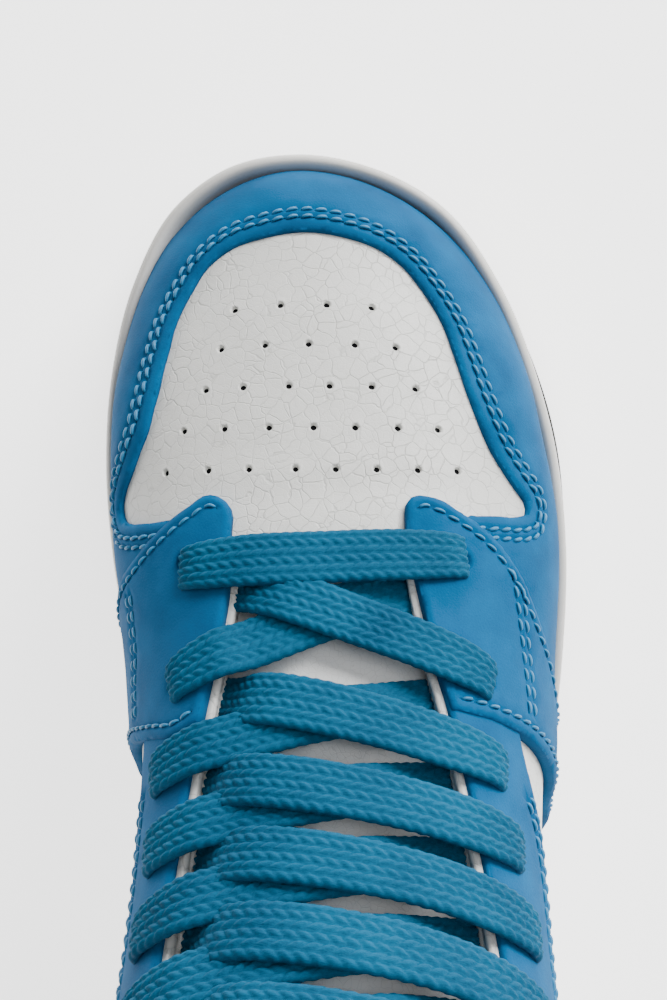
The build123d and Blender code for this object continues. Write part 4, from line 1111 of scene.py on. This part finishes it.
ON_SADDLE = 3.75
ON_STAY = 2.8
OVER_RISE = [(0.0, -4.2), (0.12, -4.0), (0.19, -1.6), (0.26, 1.6), (0.33, 3.0), (0.45, 3.3), (0.58, 3.1)]
UNDER_RISE = [(0.0, -4.2), (0.14, -4.0), (0.26, -2.2), (0.38, 0.2), (0.5, 0.7), (0.62, 0.7), (0.72, 1.1)]
straps = {"over": [], "under": []}
bar_u = EYELET_ROWS[0][0]
bar = strap("lace_bar_strap", (bar_u + 1.5, -27.2), (bar_u - 0.6, 26.8),
            [(0.0, 2.2), (0.02, 3.3), (0.07, ON_SADDLE + 0.1), (0.25, 3.9), (0.5, 3.5), (0.75, 3.9),
             (0.93, ON_SADDLE + 0.1), (0.98, 3.3), (1.0, 2.2)],
            (8.4, 10.0, 10.7, 10.8, 10.8, 10.8, 10.6, 10.0, 8.6))
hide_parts("lace_bar")
for row in range(len(EYELET_ROWS) - 1):
    rest = ON_SADDLE if row == 0 else ON_STAY
    landing = [(0.8, rest - 0.15), (0.86, rest), (0.96, rest), (0.99, rest - 0.6), (1.01, rest - 1.8)]
    for start_side, layer, rise in ((-1, "over", OVER_RISE), (1, "under", UNDER_RISE)):
        wide = 10.2 + 0.25 * math.sin(row * 2.3 + start_side)
        end_u, end_v = eyelet(row + 1, -start_side)
        end = (end_u, end_v + math.copysign(0.7, end_v))
        piece = strap(f"lace_{layer}_{row + 1}", eyelet(row, start_side), end, rise + landing,
                      (7.5, 9.4, wide, wide, wide + 0.2, wide, wide, wide, 9.6, 8.0))
        straps[layer].append(piece)
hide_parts("lace_crossings_over")
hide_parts("lace_crossings_under")

for side, word in SIDE_NAME.items():
    route = [(side * x, y, z) for x, y, z in TAIL_ROUTE]
    line = route_points(f"tail_line_{word}", route)
    outward = np.tile((float(side), 0.25, 0.1), (len(line), 1))
    tail = braided_ribbon(f"lace_tail_braid_{word}", line, outward, (7.6, 9.6, 9.6, 9.6, 9.6, 9.6, 8.0, 4.6),
                          thickness=1.8)
    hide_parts(f"lace_tail_{word}")
    end = line[-1]
    heading = line[-1] - line[-3]
    heading /= np.linalg.norm(heading)
    across = np.cross(heading, (1.0, 0, 0))
    across /= np.linalg.norm(across)
    flat = np.cross(across, heading)
    stations = [(-2.0, 0.6), (-1.9, 0.96), (-0.4, 1.0), (10, 1.0), (19.5, 0.98), (20.6, 0.86), (21.3, 0.5),
                (21.5, 0.1)]
    angle = np.arange(24) * math.pi / 12
    round_tip = 2.3 * np.cos(angle)[:, None] * across + 1.5 * np.sin(angle)[:, None] * flat
    rings = [end + heading * along + size * round_tip for along, size in stations]
    faces = ring_faces(len(rings), 24, False)
    faces.append(tuple(reversed(range(24))))
    faces.append(tuple(range(24 * (len(rings) - 1), 24 * len(rings))))
    tip = mesh_object(f"aglet_tip_{word}", np.concatenate(rings), faces, tip_plastic, "shoe")
    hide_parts(f"aglet_{word}")

# ---- Sole unit ----------------------------------------------------------------------------------
PLANFORM = [
    (-7.6, 147.5), (9.0, 144.6), (25.6, 135.6), (39.2, 117.3), (46.8, 99.0), (51.9, 80.0),
    (54.2, 60.0), (53.6, 35.0), (50.6, 8.0), (47.0, -20.0), (42.8, -50.0), (40.0, -80.0),
    (38.2, -105.0), (32.5, -125.0), (22.5, -138.0), (11.0, -145.0), (0.0, -147.5),
    (-10.6, -145.0), (-22.0, -138.0), (-31.5, -125.0), (-36.4, -105.0), (-37.0, -80.0),
    (-37.0, -50.0), (-38.6, -20.0), (-42.0, 8.0), (-47.0, 32.0), (-51.5, 56.0), (-52.9, 76.0),
    (-51.2, 99.0), (-46.5, 117.3), (-36.3, 135.6), (-23.6, 144.6),
]
CUP_RIM = [(-152, 36.5), (-110, 34), (-60, 30.5), (0, 29), (60, 30.5), (110, 33.5), (152, 36)]
SOLE_POINTS = 620
TREAD = 4.5


def closed_curve(points, count):
    """Smooth closed curve, evenly divided."""
    ring = np.array(points[-3:] + points + points[:4], float)
    walked = running_length(ring)
    fine = through(ring, walked, np.linspace(walked[3], walked[3 + len(points)], 4000))
    far = running_length(fine)
    at = np.linspace(0, far[-1], count, endpoint=False)
    return np.stack([np.interp(at, far, fine[:, k]) for k in range(2)], axis=1)


SOLE_LINE = closed_curve(PLANFORM, SOLE_POINTS)
ahead = np.roll(SOLE_LINE, -2, axis=0) - np.roll(SOLE_LINE, 2, axis=0)
ahead /= np.linalg.norm(ahead, axis=1, keepdims=True)
INWARD = np.stack([ahead[:, 1], -ahead[:, 0]], axis=1)
if np.dot(INWARD[0], -SOLE_LINE[0]) < 0:
    INWARD = -INWARD


def ground(y):
    """Height of the tread's underside: toe spring and heel bevel."""
    return 5.6 * np.clip((y - 85) / 75, 0, 1) ** 2 + 3.0 * np.clip((-120 - y) / 40, 0, 1) ** 2


def sole_ring(name, profile, material):
    """Ring swept round the sole line. Each profile point is (inset, height, share of the rim's height)."""
    rings = []
    level = ground(SOLE_LINE[:, 1])
    top = np.interp(SOLE_LINE[:, 1], *np.array(CUP_RIM).T)
    for move, height, share in profile:
        line = SOLE_LINE + INWARD * move
        z = level * (1 - share) + height + share * top
        rings.append(np.column_stack([line, z]))
    verts = np.stack(rings, axis=1).reshape(-1, 3)
    faces = ring_faces(SOLE_POINTS, len(profile))
    return mesh_object(name, verts, faces, material, "shoe")


WALL = [(14.0, TREAD, 0), (3.0, TREAD, 0), (0.5, TREAD + 0.1, 0), (0.05, TREAD + 0.9, 0), (0.15, TREAD + 4, 0),
        (0.75, -15.0, 1), (1.3, -11.0, 1), (1.75, -8.9, 1), (2.0, -8.3, 1), (2.55, -8.0, 1), (2.6, -7.5, 1),
        (2.55, -7.0, 1), (2.1, -6.7, 1), (2.0, -6.1, 1), (2.1, -4.4, 1), (2.2, -3.0, 1), (2.35, -1.6, 1),
        (2.8, -0.6, 1), (3.5, -0.05, 1), (4.2, -0.1, 1),
        (4.9, -0.8, 1), (5.6, -2.2, 1), (6.2, -6.0, 1), (9.0, -16.0, 1), (12.0, TREAD + 6.5, 0),
        (14.0, TREAD + 5.0, 0)]
cup = sole_ring("cupsole_wall", WALL, cup_rubber)
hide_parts("cupsole")

# The rim's stitch row, in its groove
groove_line = np.column_stack([SOLE_LINE + INWARD * 2.5, np.interp(SOLE_LINE[:, 1], *np.array(CUP_RIM).T) - 7.5])
groove_ring = np.vstack([groove_line, groove_line[:1]])
groove_length = running_length(groove_ring)
SOLE_STITCH = 4.6
verts, faces = [], []
for n in range(int(groove_length[-1] / SOLE_STITCH)):
    at = n * SOLE_STITCH + 0.4 + STITCH_STEPS * (SOLE_STITCH - 0.9)
    path = np.stack([np.interp(at, groove_length, groove_ring[:, k]) for k in range(3)], axis=1)
    inward = [np.interp(at, groove_length[:-1], INWARD[:, k]) for k in range(2)]
    out = -np.stack(inward + [np.zeros(len(at))], axis=1)
    lift = 0.25 * np.sin(STITCH_STEPS * math.pi) ** 0.6 - 0.3 * np.abs(2 * STITCH_STEPS - 1) ** 6
    path = path + out * lift[:, None]
    add_stitch(verts, faces, path, out, 0.45)
mesh_object("cupsole_stitching", np.concatenate(verts), faces, white_thread, "shoe")

# Outsole: a slab with its tread cut in the underside
OUTSOLE_OUT = 0.6
TREAD_DEPTH = 1.6
PIVOTS = [(-1.0, 62.0, 22.0), (0.5, -104.0, 15.0)]


def tread_depth(x, y):
    """Depth of the grooves: rings round two pivot points and a herringbone between."""
    zigzag = np.abs((x / 13.0) % 1.0 - 0.5) * 13.0
    wave = np.abs(((y + zigzag * 1.1) / 6.2) % 1.0 - 0.5) * 2
    cut = np.clip((0.36 - wave) / 0.12, 0, 1)
    for px, py, radius in PIVOTS:
        far = np.hypot(x - px, y - py)
        rings = np.clip((0.34 - np.abs((far / 4.4) % 1.0 - 0.5) * 2) / 0.12, 0, 1)
        cut = np.where(far < radius, rings, cut)
        cut = np.maximum(cut, np.clip(1 - np.abs(far - radius - 0.8) / 0.9, 0, 1))
    return cut * TREAD_DEPTH


lateral_toe = np.exp(-((SOLE_LINE[:, 1] - 92) / 36) ** 2) * (SOLE_LINE[:, 0] > 5)
medial_toe = np.exp(-((SOLE_LINE[:, 1] - 128) / 20) ** 2) * (SOLE_LINE[:, 0] < -12)
outsole_flare = OUTSOLE_OUT + 2.0 * lateral_toe + 1.6 * medial_toe
edge_line = (SOLE_LINE - INWARD * outsole_flare[:, None])[::2]
inner_edges = [SOLE_LINE[::2] + INWARD[::2] * move for move in (0.2, 1.4, 3.0)]
low = edge_line.min(axis=0)
high = edge_line.max(axis=0)
lattice = np.stack(np.meshgrid(np.arange(low[0], high[0], 1.15), np.arange(low[1], high[1], 1.0),
                               indexing="ij"), axis=2)
lattice = lattice.reshape(-1, 2)
lattice = lattice[within(lattice, inner_edges[-1])]
flat, tris = fill_outline(edge_line, np.concatenate([*inner_edges, lattice]))
from_edge = np.empty(len(flat))
for k in range(0, len(flat), 2000):
    from_edge[k:k + 2000] = np.linalg.norm(flat[k:k + 2000, None] - edge_line[None], axis=2).min(axis=1)
level = ground(flat[:, 1])
cut = tread_depth(flat[:, 0], flat[:, 1]) * (from_edge > 3.6)
under = level + cut + 0.5 * (1 - np.clip(from_edge / 0.9, 0, 1))
over = level + TREAD + 0.05 - 0.5 * (1 - np.clip(from_edge / 0.9, 0, 1))
count = len(flat)
a, b, c = flat[tris[0][0]], flat[tris[0][1]], flat[tris[0][2]]
if (b[0] - a[0]) * (c[1] - a[1]) - (b[1] - a[1]) * (c[0] - a[0]) < 0:
    tris = [t[::-1] for t in tris]
seen = {(t[k], t[(k + 1) % 3]) for t in tris for k in range(3)}
rim_edges = [e for e in seen if (e[1], e[0]) not in seen]
solid = tris + [(c + count, b + count, a + count) for a, b, c in tris]
solid += [(b, a, a + count, b + count) for a, b in rim_edges]
slab = np.concatenate([np.column_stack([flat, over]), np.column_stack([flat, under])])
outsole = mesh_object("outsole_tread", slab, solid, tread_rubber, "shoe", shade=False)
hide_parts("outsole")

# ---- Sockliner ----------------------------------------------------------------------------------
SOCK_LOW, SOCK_HIGH = 16.4, 20.4
ys = np.concatenate([np.linspace(-133.5, -126, 8), np.linspace(-123, 108, 84), np.linspace(110, 117.5, 8)])
widths = []
for y in ys:
    right = place([beside(y, SOCK_HIGH, 1)], -4.6)[0][0, 0]
    left = place([beside(y, SOCK_HIGH, -1)], -4.6)[0][0, 0]
    widths.append((left, right))
widths = np.array(widths)
ends = np.minimum(np.clip((ys - ys[0]) / 16, 0, 1), np.clip((ys[-1] - ys) / 20, 0, 1))
ends = np.sqrt(1 - (1 - ends) ** 2) * 0.99 + 0.01
middle = widths.mean(axis=1)
half = (widths[:, 1] - widths[:, 0]) / 2 * ends
across = np.concatenate([np.linspace(-1, 1, 41), np.linspace(1, -1, 41)[1:-1]])
is_top = np.concatenate([np.ones(41), np.zeros(39)])
rim_round = 1 - 0.35 * np.clip((np.abs(across) - 0.93) / 0.07, 0, 1)
verts = []
for y, m, w in zip(ys, middle, half):
    cupped = 1.3 * np.abs(across) ** 6
    z_top = SOCK_HIGH - 0.3 + cupped * 0.4 - 0.8 * (1 - rim_round)
    z = np.where(is_top > 0, z_top, SOCK_LOW + 0.2)
    verts.append(np.column_stack([m + w * across, np.full(len(across), y), z]))
faces = ring_faces(len(ys), len(across), False)
faces.append(tuple(reversed(range(len(across)))))
faces.append(tuple(range(len(across) * (len(ys) - 1), len(across) * len(ys))))
sock = mesh_object("sockliner_pad", np.concatenate(verts), [f[::-1] for f in faces], sock_cloth, None)
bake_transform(sock)
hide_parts("sockliner_front", "sockliner_heel")

# ---- Floor and light ----------------------------------------------------------------------------
floor_mesh = bpy.data.meshes.new("floor")
FLOOR = 30.0               # half width in metres
FLOOR_Z = -0.0003          # a hair below the tread
corners = [(x * FLOOR, y * FLOOR, FLOOR_Z) for x, y in ((-1, -1), (1, -1), (1, 1), (-1, 1))]
floor_mesh.from_pydata(corners, [], [(0, 1, 2, 3)])
floor_material, _, floor_shader = new_material("floor_paper")
floor_shader.inputs["Base Color"].default_value = (0.93, 0.93, 0.92, 1)
floor_shader.inputs["Roughness"].default_value = 0.75
floor_shader.inputs["Emission Color"].default_value = (1, 1, 1, 1)
floor_shader.inputs["Emission Strength"].default_value = 2.2
floor_mesh.materials.append(floor_material)
floor = bpy.data.objects.new("floor", floor_mesh)
bpy.context.scene.collection.objects.link(floor)


def area_light(name, at, aim, size, power, color=(1, 1, 1)):
    data = bpy.data.lights.new(name, "AREA")
    data.shape = "RECTANGLE"
    data.size, data.size_y = size
    data.energy = power
    data.color = color
    lamp = bpy.data.objects.new(name, data)
    lamp.location = at
    lamp.rotation_euler = (Vector(aim) - Vector(at)).to_track_quat("-Z", "Y").to_euler()
    bpy.context.scene.collection.objects.link(lamp)


area_light("key", (0.62, 0.95, 0.62), (0, 0.05, 0.04), (0.6, 0.6), 27)
area_light("top_fill", (0.35, 0.35, 1.3), (0, 0.03, 0.04), (0.9, 0.7), 7)
world = bpy.data.worlds.new("studio")
world.use_nodes = True
sky = world.node_tree
sky_from = sky.nodes.new("ShaderNodeTexCoord")
sky_split = sky.nodes.new("ShaderNodeSeparateXYZ")
sky.links.new(sky_from.outputs["Generated"], sky_split.inputs["Vector"])
sky_tone = ramp(sky, plus(sky, sky_split.outputs["Z"], mul(sky, sky_split.outputs["X"], -0.15)),
                [(0.0, grey(0.8)), (0.1, grey(0.42)), (0.5, grey(0.22))])
sky.links.new(sky_tone, sky.nodes["Background"].inputs["Color"])
sky.nodes["Background"].inputs["Strength"].default_value = 1.0
bpy.context.scene.world = world
